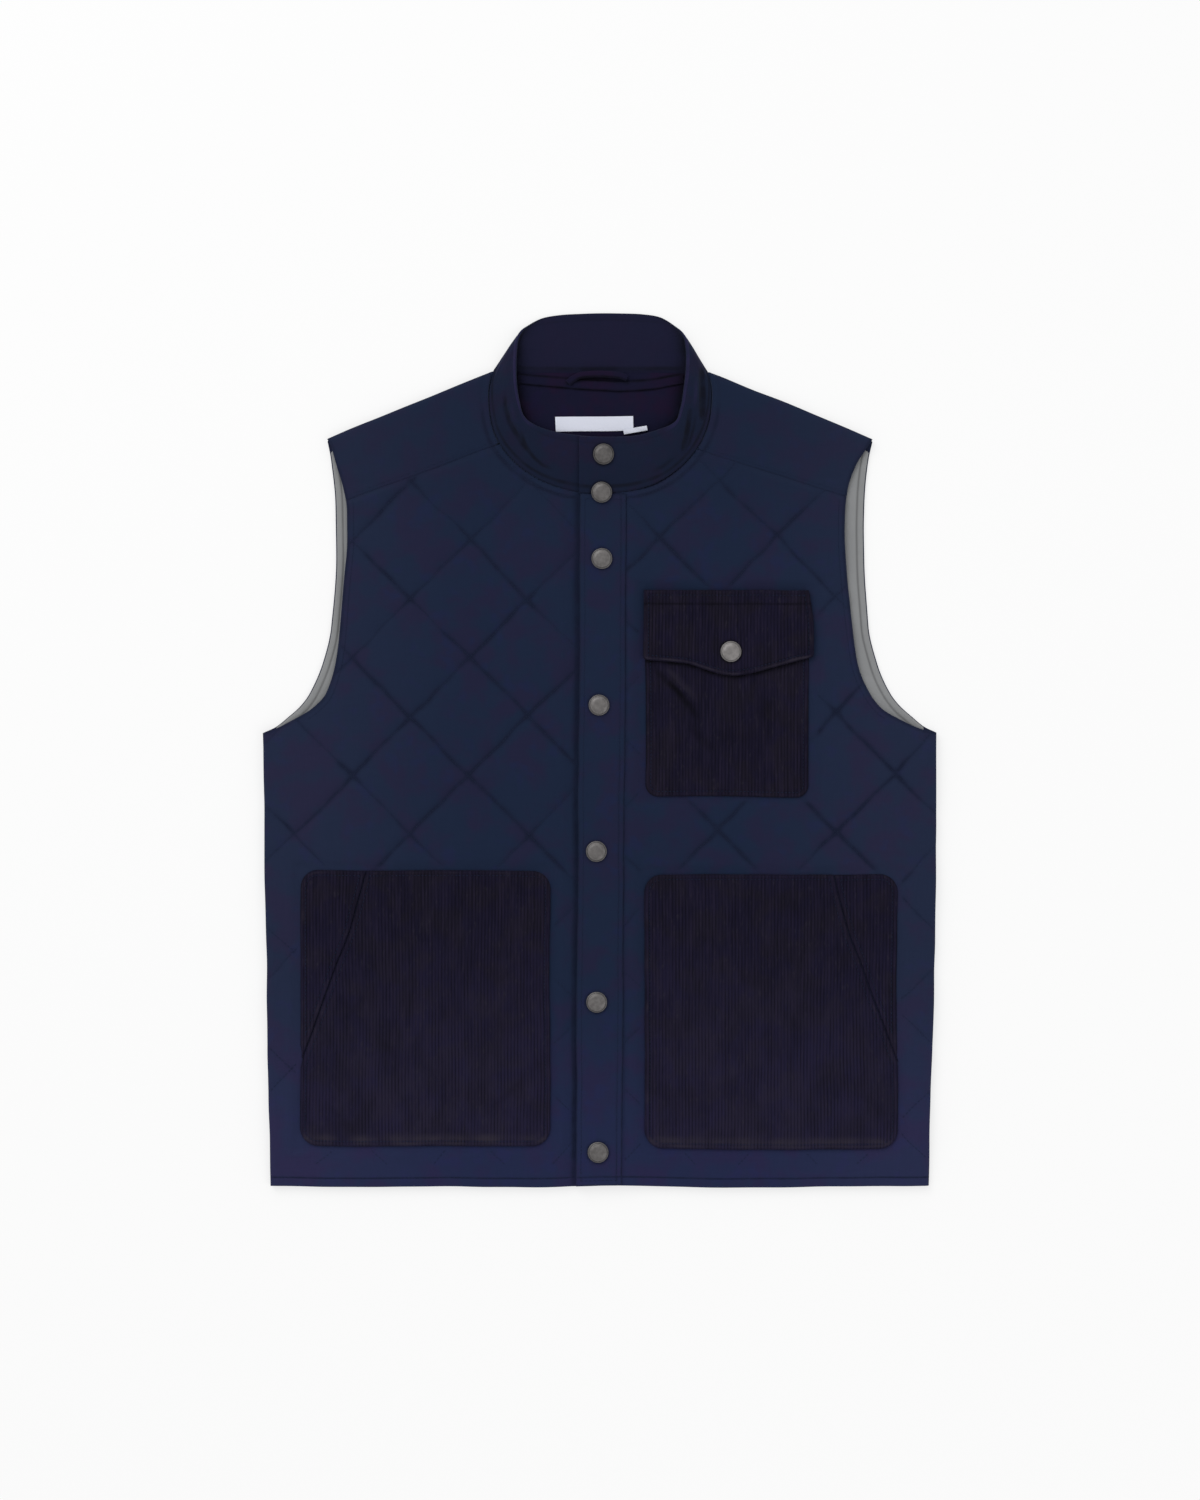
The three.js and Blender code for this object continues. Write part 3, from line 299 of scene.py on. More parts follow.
# As shares of its height: how far the foot runs on to the seam, and over what length it rolls down
COLLAR_RUN_ON = 0.024
COLLAR_FOOT_ROLL = 0.06
COLLAR_FOOT_SHARES = (0, 0.06, 0.16, 0.3, 0.5, 0.75)
COLLAR_BULGE = 1.6
COLLAR_WAVE = {"height": 0.22, "around": 420, "up": 40}
# Painted highlight along the collar's rim: its distance below the top, its width, and the distances from the
# centre over which it comes in
COLLAR_RIM_HIGHLIGHT = {"from_top": 3.2, "width": 4, "beside": (50, 66)}
COLLAR_AROUND = 360
COLLAR_UP = 30
COLLAR_EDGE_LINE = 5.5
COLLAR_FOOT_LINE = 5
COLLAR_CREASES = [
    {"path": [(-80, 303), (-79.5, 292), (-76.5, 280), (-69, 265.6), (-62, 253)], "depth": 1.0, "width": 2.0},
    {"path": [(-67, 272), (-63, 258), (-57, 249), (-49, 242), (-40, 238)], "depth": 0.8, "width": 1.7},
    {"path": [(-74.5, 300), (-73.5, 288), (-71, 276)], "depth": -0.5, "width": 2.4},
    {"path": [(84.6, 327), (85, 316), (86.2, 300), (86.6, 280)], "depth": 2.0, "width": 2.4},
    {"path": [(76, 292), (75, 281), (72.6, 266), (69, 253)], "depth": 1.4, "width": 1.9},
    {"path": [(80.8, 286), (79.5, 276), (76, 262), (71, 252)], "depth": 0.7, "width": 1.4},
    {"path": [(80.2, 318), (80, 304), (79, 290)], "depth": -0.7, "width": 2.2},
    {"path": [(64, 250), (54, 242), (44, 237)], "depth": 0.5, "width": 2.0},
]

# Half width of the collar's opening at heights along Y
OPENING_HEIGHTS = [264, 267, 272, 281, 295, 312, 329, 345, 354, 361, 367, 373]
OPENING_HALF = [0, 22, 48, 64, 69, 71.2, 72, 71.5, 69, 63.5, 52, 20]

# Inside the back neck
NECK_TAPE = {"width": 7.6, "bottom": 5.2, "thickness": 1.0}
TAPE_PATH = [(-71, 316.5), (-31.5, 312.9), (-8, 310.9), (16, 309.9), (44, 311.7), (71, 317)]
LOOP_PATH = [(-27, 312.8), (-22, 316.8), (-15, 319.4), (-4, 320.1), (9, 319.6), (18, 318.4), (23, 316.8)]
LOOP_SHADOW = [(-28, 312.4), (-17, 315.6), (1.4, 317), (12, 316), (24, 313.6)]
LOOP = {"width": 5.4, "thickness": 1.8, "bottom": 6.4, "arch": 0.8}
NECK_LABEL = {"left": -37.6, "right": 28.4, "top": 284.2, "bottom": 271.4, "base": 5.2, "thickness": 0.7}
SIZE_TAB = {"left": 20, "right": 40.5, "top": 274.6, "bottom": 270.4, "base": 6.5, "thickness": 0.7}
STRIP_SQUARENESS = 0.35
LABEL_SLOPE = 0.02
TAB_SLOPE = 0.18

# Snap caps: x, y, height of the seat where it is off the front, and lean. The tones say how light
# each cap's metal looks, from the top one down, with the chest's last
SNAP_RADIUS = 8.85
SNAP_HEIGHT = 2.8
COLLAR_SNAPS = [(3, 251.3, 13.8, 0.02), (1.7, 219.4, 11.1, 0.05)]
PLACKET_SNAPS = [(1.7, 162.8), (-1.3, 38.7), (-3, -85.4), (-2.6, -213.8), (-1.7, -341.6)]
CHEST_SNAP = (111.8, 83.6)
ALL_SNAPS = [*COLLAR_SNAPS, *PLACKET_SNAPS, CHEST_SNAP]
SNAP_SIDES = 56
SNAP_TONES = (0.49, 0.6, 0.68, 0.71, 0.66, 0.66, 0.61, 1.0)

# The photograph's view: one pixel is this many millimetres at the height of the fronts
PIXEL = 0.85
FRAME_HEIGHT_PIXELS = 1500
LENS = 85
SENSOR = 36
FRONT_HEIGHT = 0.008

# Floor: its size, and how far it lies below the vest, in metres
FLOOR = {"size": 9, "below": 0.0004}

# Light: the room's strength, and each lamp's name, place and size in metres and power in watts
ROOM_LIGHT = 0.72
LAMPS = (("key_light", (-2.0, 2.95, 3.5), 3.2, 112), ("fill_light", (1.9, -1.6, 2.8), 2.6, 22))


def length_property(name, description, default, low, high):
    return FloatProperty(
        name=name, description=description, default=default, min=low, max=high, unit="LENGTH"
    )


def colour_property(name, description, default):
    return FloatVectorProperty(
        name=name, description=description, default=default, min=0, max=1, size=3, subtype="COLOR"
    )


class VestSizes(bpy.types.PropertyGroup):
    """Sizes of the cloth and its sewing, in metres."""

    puff: length_property("Puff height", "How far a quilted diamond rises", 0.0024, 0, 0.004)
    wale_pitch: length_property("Wale pitch", "Distance from one rib to the next", 0.0028, 0.0015, 0.006)
    wale_height: length_property("Wale height", "How far a rib stands over its groove", 0.0005, 0, 0.001)
    stitch_pitch: length_property("Stitch pitch", "From one stitch to the next", 0.0032, 0.002, 0.006)
    thread: length_property("Thread thickness", "Thickness of the sewing thread", 0.0005, 0.0002, 0.001)


class VestColours(bpy.types.PropertyGroup):
    """Colours of the vest's finishes."""

    navy: colour_property("Shell", "Navy cloth of the shell", (0.0051, 0.0111, 0.0338))
    inside: colour_property("Inside of the neck", "Navy of facing, tape and loop", (0.005, 0.0043, 0.0185))
    corduroy: colour_property("Corduroy", "Dark corduroy of the pockets", (0.0062, 0.0054, 0.0152))
    lining: colour_property("Lining", "Grey cloth inside", (0.22, 0.225, 0.23))
    label: colour_property("Label", "White tape of the label and tab", (0.6, 0.62, 0.71))
    metal: colour_property("Snaps", "Gunmetal of the snap caps", (0.226, 0.215, 0.212))


def sizes():
    return bpy.context.scene.vest_sizes


def colours():
    return bpy.context.scene.vest_colours


# Curves and distances


def clamp(value):
    return np.clip(value, 0.0, 1.0)


def mix(a, b, share):
    return a + (b - a) * share


def smooth_step(start, end, value):
    share = clamp((np.asarray(value, float) - start) / (end - start))
    return share * share * (3 - 2 * share)


class SmoothTable:
    """A smooth curve through a table's points that doesn't swing past them."""

    def __init__(self, places, values):
        self.places = np.array(places, float)
        self.values = np.array(values, float)
        slopes = np.diff(self.values) / np.diff(self.places)
        product = slopes[:-1] * slopes[1:]
        total = np.where(product > 0, slopes[:-1] + slopes[1:], 1)
        inner = np.where(product > 0, 2 * product / total, 0)
        self.tangents = np.concatenate([slopes[:1], inner, slopes[-1:]])

    def __call__(self, place):
        place = np.clip(place, self.places[0], self.places[-1])
        at = np.clip(np.searchsorted(self.places, place) - 1, 0, len(self.places) - 2)
        span = self.places[at + 1] - self.places[at]
        t = (place - self.places[at]) / span
        start = (1 + 2 * t) * (1 - t) ** 2 * self.values[at] + t * (1 - t) ** 2 * span * self.tangents[at]
        end = t * t * (3 - 2 * t) * self.values[at + 1] + t * t * (t - 1) * span * self.tangents[at + 1]
        return start + end


SIDE_CURVE = {key: SmoothTable(SIDE_HEIGHTS, SIDE[key]) for key in SIDE}
ARMHOLE_CURVE = {key: SmoothTable(ARMHOLE_HEIGHTS[key], ARMHOLE[key]) for key in ARMHOLE}


def shoulder_half(y):
    share = (y - TIP[1]) / (NECK_POINT[1] - TIP[1])
    return mix(TIP[0], NECK_POINT[0], share)


def body_half(panel, y):
    """Half width of the body at a height: side, armhole, then shoulder line."""
    y = np.asarray(y, float)
    lower = np.where(y <= ARMPIT_Y, SIDE_CURVE[panel](y), ARMHOLE_CURVE[panel](y))
    return np.where(y > TIP[1], shoulder_half(y), lower)


def neck_half(y, inset=0.0):
    """Half width of the neck seam, or of a line inside it by an inset."""
    y = np.asarray(y, float)
    above = clamp((y - NECK["centre_y"]) / (NECK_POINT[1] - NECK["centre_y"]))
    share = clamp((NECK["centre_y"] - y) / (NECK["centre_y"] - NECK["lowest_y"] - inset))
    oval = NECK["half_width"] * (1 - share ** NECK["roundness"]) ** (1 / NECK["roundness"])
    return mix(oval, NECK_POINT[0], above**2) - inset * (oval > inset)


def yoke_seam_x(side, y):
    (neck_x, neck_y), (arm_x, arm_y) = YOKE_SEAM[side]["neck"], YOKE_SEAM[side]["armhole"]
    return mix(neck_x, arm_x, (neck_y - y) / (neck_y - arm_y))


def placket_left(y):
    return mix(PLACKET["hem_x"], PLACKET["top_x"], (y - HEM_Y) / (PLACKET["top_y"] - HEM_Y))


def nearest_on(chain, x, y):
    """Distance from each point to a chain of points, and how far along the chain its nearest place is."""
    chain = np.asarray(chain, float)
    best = np.full(np.shape(x), np.inf)
    along = np.zeros(np.shape(x))
    done = 0.0
    for (ax, ay), (bx, by) in zip(chain[:-1], chain[1:]):
        dx, dy = bx - ax, by - ay
        length = math.hypot(dx, dy)
        if length == 0:
            continue
        share = clamp(((x - ax) * dx + (y - ay) * dy) / length**2)
        distance = np.hypot(x - ax - dx * share, y - ay - dy * share)
        closer = distance < best
        best = np.where(closer, distance, best)
        along = np.where(closer, done + share * length, along)
        done += length
    return best, along / done


def distance_to(chain, x, y):
    return nearest_on(chain, x, y)[0]


def chain_along(start, end, x_at, steps):
    heights = np.linspace(start, end, steps + 1)
    return np.column_stack([x_at(heights), heights])


def side_normals(chain):
    """Unit normals along a chain, to the left of its direction."""
    along = np.gradient(chain, axis=0)
    normal = np.column_stack([-along[:, 1], along[:, 0]])
    return normal / np.linalg.norm(normal, axis=1)[:, None]


def offset_chain(chain, distance):
    """A chain moved sideways, to the left of its direction."""
    chain = np.asarray(chain, float)
    return chain + side_normals(chain) * distance


def level(height):
    """A flat surface at a height."""
    return lambda x, y: np.full(np.shape(x), height)


def both_sides(half):
    """Left and right edge of a piece that has the same half width on both sides."""
    return lambda y: -half(y), half


def in_order(side, inner, outer):
    """The inner and outer edge of a piece on one front, in the order of X."""
    return (outer, inner) if side == "right" else (inner, outer)


def edge_drop(distance, round_off):
    drop, reach = round_off
    share = clamp(1 - distance / reach)
    return drop * (1 - np.sqrt(1 - share * share))


def groove(distance, depth, width):
    return depth * np.exp(-((distance / width) ** 2))


def crease(x, y, path, depth, width):
    """A soft trough along a path, fading towards both ends; a negative depth is a ridge."""
    distance, along = nearest_on(path, x, y)
    return groove(distance, depth, width) * np.sin(math.pi * clamp(along)) ** 0.6


class Ripple:
    """Smooth uneven waves over a surface, from -1 to 1, the same on each run."""

    def __init__(self, seed, wavelength, waves=7):
        random = np.random.default_rng(seed)
        angle = random.uniform(0, 2 * math.pi, waves)
        rate = 2 * math.pi / (wavelength * random.uniform(0.7, 1.6, waves))
        self.rate_x = rate * np.cos(angle)
        self.rate_y = rate * np.sin(angle)
        self.phase = random.uniform(0, 2 * math.pi, waves)

    def __call__(self, x, y):
        waves = [np.sin(x * a + y * b + c) for a, b, c in zip(self.rate_x, self.rate_y, self.phase)]
        return sum(waves) / (0.75 * len(waves))


# Waves of several lengths in millimetres, each with its own seed
BILLOW = Ripple(11, 120)
UNEVEN = Ripple(12, 34)
WRINKLE = Ripple(13, 17)
DRIFT_X = Ripple(14, 90)
DRIFT_Y = Ripple(15, 90)
FADING = Ripple(16, 60)
LIE_X = Ripple(17, 120)
LIE_Y = Ripple(18, 120)
LIE_FINE = Ripple(19, 42)
LIE = {"long": 0.75, "fine": 0.28, "hem_sag": 1.5}


def laid(points):
    """Points moved a little sideways, as in cloth laid by hand, where no edge is quite straight."""
    x, y = points[:, 0], points[:, 1]
    sag = np.sin(math.pi * clamp(np.abs(x) / 290)) * smooth_step(-180, HEM_Y, y)
    moved = np.array(points, float)
    moved[:, 0] += LIE["long"] * LIE_X(x, y) + LIE["fine"] * LIE_FINE(x, y)
    moved[:, 1] += LIE["long"] * LIE_Y(x, y) + LIE["fine"] * LIE_FINE(y, x) - LIE["hem_sag"] * sag
    return moved


# Rows of points and the closed meshes made from them


def lattice(start, end, origin, step):
    first = math.ceil((start - origin) / step)
    last = math.floor((end - origin) / step)
    return origin + step * np.arange(first, last + 1) if last >= first else np.array([])


def spread(start, end, step):
    return np.linspace(start, end, max(1, round((end - start) / step)) + 1)


def tidy_heights(*groups, apart=0.08):
    """One rising list of heights, with any that nearly repeat left out."""
    heights = np.sort(np.concatenate([np.asarray(group, float) for group in groups]))
    kept = [heights[0]]
    for height in heights[1:]:
        if height - kept[-1] > apart:
            kept.append(height)
    kept[-1] = heights[-1]
    return kept


def fill_rows(heights, left, right, step, borders, origin=0.0):
    """Rows of x between two edges: on a lattice inside, and at set distances square to each edge."""
    lowest, highest = heights[0], heights[-1]

    def slant(edge, y):
        below, above = max(lowest, y - SLANT_REACH), min(highest, y + SLANT_REACH)
        return min(STEEPEST, math.hypot(1, (edge(above) - edge(below)) / (above - below)))

    rows = []
    for y in heights:
        start, end = float(left(y)), float(right(y))
        slant_left, slant_right = slant(left, y), slant(right, y)
        inner = [b for b in borders if end - start > 1.3 * b * (slant_left + slant_right)]
        reach = (inner[-1] if inner else 0) + 0.3 * step
        middle = lattice(start + reach * slant_left, end - reach * slant_right, origin, step)
        xs = [[start], [start + b * slant_left for b in inner], middle]
        xs += [[end - b * slant_right for b in reversed(inner)], [end]]
        rows.append((y, np.concatenate(xs), len(inner)))
    return rows


def zip_rows(lower, upper, flip):
    """Triangles between two rows, each given as lists of x, z and vertex numbers."""
    (ax, az, ai), (bx, bz, bi) = lower, upper
    faces = []
    i = j = 0
    last_a, last_b = len(ax) - 1, len(bx) - 1
    while i < last_a or j < last_b:
        along_lower = abs(ax[i + 1] - bx[j]) if i < last_a else math.inf
        along_upper = abs(ax[i] - bx[j + 1]) if j < last_b else math.inf
        use_lower = along_lower < along_upper
        if abs(along_lower - along_upper) < EVEN_DIAGONALS:
            use_lower = az[i + 1] + bz[j] < az[i] + bz[j + 1]
        if use_lower:
            face = (ai[i], ai[i + 1], bi[j])
            i += 1
        else:
            face = (ai[i], bi[j + 1], bi[j])
            j += 1
        faces.append(face[::-1] if flip else face)
    return faces


def linked(name, data):
    made = bpy.data.objects.new(name, data)
    bpy.context.scene.collection.objects.link(made)
    return made


def set_attribute(mesh, name, values, kind="FLOAT", key="value"):
    attribute = mesh.attributes.new(name, kind, "POINT")
    attribute.data.foreach_set(key, np.asarray(values, np.float32).ravel())


def new_object(name, vertices, faces, marks=None, stiff=False):
    """A mesh object from vertices in millimetres, shaded smooth but for its sharp edges. Its mark
    "across" is the X that a point had before the cloth was laid."""
    vertices = np.asarray(vertices, float)
    placed = vertices if stiff else laid(vertices)
    mesh = bpy.data.meshes.new(name)
    mesh.from_pydata((placed * MM).tolist(), [], faces)
    set_attribute(mesh, "across", vertices[:, 0] * MM)
    # The mark "seam" holds dark sewing with painted shade and shadow above 0, and painted highlight and wear
    # below 0.
    if marks is not None:
        set_attribute(mesh, "seam", marks)
    mesh.shade_smooth()
    mesh.set_sharp_from_angle(angle=math.radians(SHARP_ANGLE))
    mesh.validate()
    return linked(name, mesh)


def correct_normals(made):
    """Turns all faces outwards on a closed mesh that has one skin."""
    shape = bmesh.new()
    shape.from_mesh(made.data)
    bmesh.ops.recalc_face_normals(shape, faces=shape.faces)
    shape.to_mesh(made.data)
    shape.free()


def ring_faces(rows, ring):
    """Faces between rings of points that follow one another, and one face across each end."""
    at = np.arange(rows - 1)[:, None] * ring + np.arange(ring)[None, :]
    after = np.arange(rows - 1)[:, None] * ring + (np.arange(ring)[None, :] + 1) % ring
    faces = np.stack([at, after, after + ring, at + ring], axis=2).reshape(-1, 4).tolist()
    faces.append(tuple(range(ring))[::-1])
    faces.append(tuple(range((rows - 1) * ring, rows * ring)))
    return faces


def cloth_piece(name, rows, top, bottom, marks=None, under_every=1):
    """A cloth piece lying down: a top and an underside on rows of points, closed round its edge.
    Inside its border the underside keeps one column in under_every."""
    counts = [len(xs) for _, xs, _ in rows]
    x = np.concatenate([xs for _, xs, _ in rows])
    y = np.repeat([row[0] for row in rows], counts).astype(float)
    top_z = top(x, y)
    bottom_z = np.minimum(bottom(x, y), top_z - THINNEST)
    starts = np.concatenate([[0], np.cumsum(counts)])
    total = starts[-1]
    last = len(rows) - 1
    faces = []
    upper, lower = [], []
    for at, (_, xs, inner) in enumerate(rows):
        ids = np.arange(starts[at], starts[at + 1])
        keep = np.ones(len(xs), bool)
        if under_every > 1 and 0 < at < last:
            places = np.arange(len(xs))
            keep = (places <= inner) | (places >= len(xs) - 1 - inner) | (places % under_every == 0)
        upper.append((xs.tolist(), top_z[ids].tolist(), ids.tolist()))
        kept = ids[keep]
        lower.append((x[kept].tolist(), bottom_z[kept].tolist(), (kept + total).tolist()))
    for at in range(last):
        faces += zip_rows(upper[at], upper[at + 1], flip=False)
        faces += zip_rows(lower[at], lower[at + 1], flip=True)
        for end in (0, -1):
            a, b = upper[at][2][end], upper[at + 1][2][end]
            c, d = lower[at][2][end], lower[at + 1][2][end]
            faces += [(b, a, c), (b, c, d)] if end == 0 else [(a, b, d), (a, d, c)]
    for at in (0, last):
        over, below = upper[at][2], lower[at][2]
        for a, b, c, d in zip(over[:-1], over[1:], below[:-1], below[1:]):
            faces += [(a, d, b), (a, c, d)] if at == 0 else [(a, b, d), (a, d, c)]
    vertices = np.column_stack([np.tile(x, 2), np.tile(y, 2), np.concatenate([top_z, bottom_z])])
    values = None if marks is None else np.tile(marks(x, y), 2)
    used = np.zeros(len(vertices), bool)
    used[np.unique(np.array(faces).ravel())] = True
    number = np.cumsum(used) - 1
    faces = number[np.array(faces)].tolist()
    return new_object(name, vertices[used], faces, None if values is None else values[used])


# The quilted surface of the fronts


def quilt_drift(x, y):
    """How far the sewn lines wander from straight ones."""
    long, short = QUILT_DRIFT["long"], QUILT_DRIFT["short"]
    return long * DRIFT_X(x, y) + short * UNEVEN(x, y), long * DRIFT_Y(x, y) + short * UNEVEN(y, x)


def quilt_strength(panel, x, y):
    """How deep the sewn lines are pulled: uneven, and weaker by the neck, low down and at the hem."""
    from_neck = np.hypot(x, y - NECK["centre_y"])
    by_neck = 0.45 + 0.55 * smooth_step(100, 165, from_neck)
    low_down = 1 - 0.4 * smooth_step(-110, -170, y)
    paths = QUILT_PULLED[panel]
    pulled = np.maximum.reduce([groove(distance_to(path, x, y), 1, PULL_REACH) for path in paths])
    strength = clamp(0.38 + 0.25 * FADING(x, y) + 0.6 * pulled + 0.2 * WRINKLE(x, y))
    return strength * mix(by_neck, 1, pulled) * low_down * smooth_step(-345, -325, y)


def quilt_lines(panel, x, y):
    """Distance to the nearest sewn line of each of the two families, and the place along it."""
    drift = quilt_drift(x, y)
    x, y = x + drift[0], y + drift[1]
    crossing = QUILT_CROSSING[panel]
    across = QUILT_DIAGONAL / math.sqrt(2)
    rising = (x - crossing[0] + y - crossing[1]) / math.sqrt(2)
    falling = (x - crossing[0] - y + crossing[1]) / math.sqrt(2)
    lines = []
    for place, along in ((rising, falling), (falling, rising)):
        number = np.round(place / across)
        lines.append((np.abs(place - number * across), along, number))
    return lines


def quilt_puff(panel, x, y):
    """From 0 on a sewn line to 1 in the middle of a diamond."""
    across = QUILT_DIAGONAL / math.sqrt(2)
    (first, _, _), (second, _, _) = quilt_lines(panel, x, y)
    width = QUILT_GROOVE["width"]
    pulled = 0.3 + 0.7 * quilt_strength(panel, x, y)
    groove_part = (1 - groove(first, pulled, width)) * (1 - groove(second, pulled, width))
    domed = (np.sin(math.pi * first / across) * np.sin(math.pi * second / across)) ** QUILT_GROOVE["fullness"]
    return mix(domed, groove_part, QUILT_GROOVE["share"])


def quilt_pucker(panel, x, y):
    """Small tucks square to the sewn lines, strongest on them."""
    total = 0
    for distance, along, number in quilt_lines(panel, x, y):
        phase = 2.4 * number + 1.6 * UNEVEN(x, y)
        wave = np.sin(2 * math.pi * along / PUCKER["length"] + phase)
        strength = 0.6 + 0.4 * UNEVEN(y, x)
        total = total + wave * strength * np.exp(-distance / PUCKER["reach"])
    return PUCKER["height"] * total


def quilt_mark(panel, x, y):
    """How dark a sewn line looks with the painted shade of the valley it pulls in: strongest on it, fading in
    and out along its length.
    """
    (first, _, _), (second, _, _) = quilt_lines(panel, x, y)
    nearest = np.minimum(first, second)
    line = 0.75 * groove(nearest, 1, 3.0) + 0.25 * groove(nearest, 1, 1)
    crossing = 0.4 * groove(first, 1, 3.5) * groove(second, 1, 3.5)
    return quilt_strength(panel, x, y) * (line + crossing)


def pressed_by(box, along_x, y):
    """How much a patch presses the quilting flat: 1 in its box, 0 well outside."""
    beside = [box["inner"] - along_x, along_x - box["outer"]]
    outside = np.maximum.reduce([*beside, box["bottom"] - y, y - box["top"]])
    return 1 - smooth_step(*PRESS_FADE, outside)


def edges_of(side):
    """The lines that bound a front and its yoke."""
    sign = SIGN[side]
    seam = YOKE_SEAM[side]
    return {
        "side": chain_along(HEM_Y, ARMPIT_Y, lambda y: sign * body_half(side, y), 16),
        "armhole": chain_along(ARMPIT_Y + 0.001, TIP[1], lambda y: sign * body_half(side, y), 130),
        "shoulder": [(sign * TIP[0], TIP[1]), (sign * NECK_POINT[0], NECK_POINT[1])],
        "hem": [(-300, HEM_Y), (300, HEM_Y)],
        "yoke": [(sign * seam["armhole"][0], seam["armhole"][1]), (sign * seam["neck"][0], seam["neck"][1])],
        "neck": chain_along(NECK["lowest_y"], NECK_POINT[1], lambda y: sign * neck_half(y), 80),
    }


EDGES = {side: edges_of(side) for side in SIGN}
# The line of sewing outside the neck seam
NECK_LINES = {side: offset_chain(EDGES[side]["neck"], -SIGN[side] * NECK_BAND) for side in SIGN}


def outer_drop(edges, x, y):
    """How far the surface rounds off at folded and at free outer edges."""
    fold = np.minimum(distance_to(edges["side"], x, y), distance_to(edges["shoulder"], x, y))
    free = np.minimum(distance_to(edges["armhole"], x, y), distance_to(edges["hem"], x, y))
    return np.maximum(edge_drop(fold, FOLD_ROUND), edge_drop(free, FREE_ROUND))


def front_pressed(side, x, y):
    """How far a front belongs to the lap, and how flat it is pressed by patches, lap, hem and seams."""
    along_x = -x if side == "right" else x
    lap = smooth_step(*LAP_FADE[side], x)
    pocket = pressed_by(LOWER_POCKET[side], along_x, y)
    chest = 0
    if side == "left":
        chest = pressed_by({**CHEST_FLAP, "bottom": CHEST_POCKET["bottom"]}, along_x, y)
    edges = EDGES[side]
    seam = np.minimum(distance_to(edges["yoke"], x, y), distance_to(edges["neck"], x, y))
    under_lap = smooth_step(*LAP_PRESS[side], x)
    hem = 1 - smooth_step(*HEM_PRESS, y - HEM_Y)
    by_seam = 1 - smooth_step(0, SEAM_PRESS, seam)
    return lap, np.maximum.reduce([under_lap, pocket, chest + 0 * x, hem, by_seam])


def turned_under(side, x, y, height, low):
    """Rolls a surface down at the neck seam and runs it on, low, under the collar."""
    distance = distance_to(EDGES[side]["neck"], x, y)
    inside = (np.abs(x) < neck_half(y)) & (y > NECK["lowest_y"])
    rolled = height - edge_drop(distance, NECK_ROUND)
    return np.where(inside, mix(rolled, low, smooth_step(0, 0.5, distance)), rolled)


def front_top(side, x, y):
    """The front's outer surface: quilting, lap, rounded edges, puckers and sewing lines."""
    x, y = np.asarray(x, float), np.asarray(y, float)
    edges = EDGES[side]
    lap, pressed = front_pressed(side, x, y)
    lap_top = UNDERLAP["top"] if side == "right" else OVERLAP["top"]
    puff = quilt_puff(side, x, y) * (1 - pressed)
    fullness = sizes().puff / MM * (1 + 0.12 * BILLOW(x, y))
    height = mix(FRONT["top"], lap_top, lap) + fullness * puff
    height = height + quilt_pucker(side, x, y) * (1 - pressed)
    height = height - groove(y - HEM_Y - HEM_STITCH_RISE, *SEWN_RELIEF["hem"])
    height = height - groove(distance_to(NECK_LINES[side], x, y), *SEWN_RELIEF["band"]) * (y > BAND_FROM_Y)
    low = front_under(side, x) + NECK_ALLOWANCE["rise"]
    return turned_under(side, x, y, height, low) - outer_drop(edges, x, y)


def front_under(side, x):
    """The front's underside, which is higher where the left front laps over the right one."""
    if side == "right":
        return np.full(np.shape(x), FRONT["bottom"])
    return mix(OVERLAP["bottom"], FRONT["bottom"], smooth_step(*LAP_FADE["under"], x))


def seam_marks(side, x, y):
    """How dark the yoke seam and the neck seam look, and the painted shadow along the armhole's edge."""
    edges = EDGES[side]
    yoke = groove(distance_to(edges["yoke"], x, y), *SEAM_MARKS["yoke"])
    neck = groove(distance_to(edges["neck"], x, y), *SEAM_MARKS["neck"])
    arm = groove(distance_to(edges["armhole"], x, y) - 1, *SEAM_MARKS["arm"])
    return np.maximum.reduce([yoke, neck, arm])


def front_marks(side, x, y):
    """How dark a front looks in its sewn lines with their painted shade, and in the painted shadow beside the
    placket.
    """
    _, pressed = front_pressed(side, x, y)
    sewn = quilt_mark(side, x, y) * (1 - 0.55 * smooth_step(0.5, 1, pressed))
    beside = placket_left(y) - x if side == "right" else x - placket_left(y) - PLACKET["width"]
    depth, away, width = PLACKET_SHADOW[side]
    shadow = groove(beside - away, depth, width)
    band = groove(distance_to(NECK_LINES[side], x, y), *SEAM_MARKS["band"]) * (y > BAND_FROM_Y)
    hem = groove(y - HEM_Y - HEM_STITCH_RISE, *SEAM_MARKS["hem"])
    return np.maximum.reduce([sewn, shadow, seam_marks(side, x, y), band, hem])


def front_edges(side):
    """Left and right edge of a front at a height, in the order of X."""
    sign = SIGN[side]

    def outer(y):
        half = float(body_half(side, y))
        if y > YOKE_SEAM[side]["armhole"][1]:
            half = min(half, yoke_seam_x(side, y) - SEWN_GAP)
        return sign * half

    def inner(y):
        if y > NECK["lowest_y"] + NECK_ALLOWANCE["reach"]:
            return sign * float(neck_half(y, NECK_ALLOWANCE["reach"]))
        return UNDERLAP["edge_x"] if side == "right" else placket_left(y)

    return in_order(side, inner, outer)


def front_end(side):
    """The height at which the yoke seam reaches the front's inner edge."""
    heights = np.arange(YOKE_SEAM[side]["neck"][1] - 2, NECK_POINT[1], 0.1)
    width = yoke_seam_x(side, heights) - SEWN_GAP - neck_half(heights, NECK_ALLOWANCE["reach"])
    return float(heights[width > 0.3][-1])


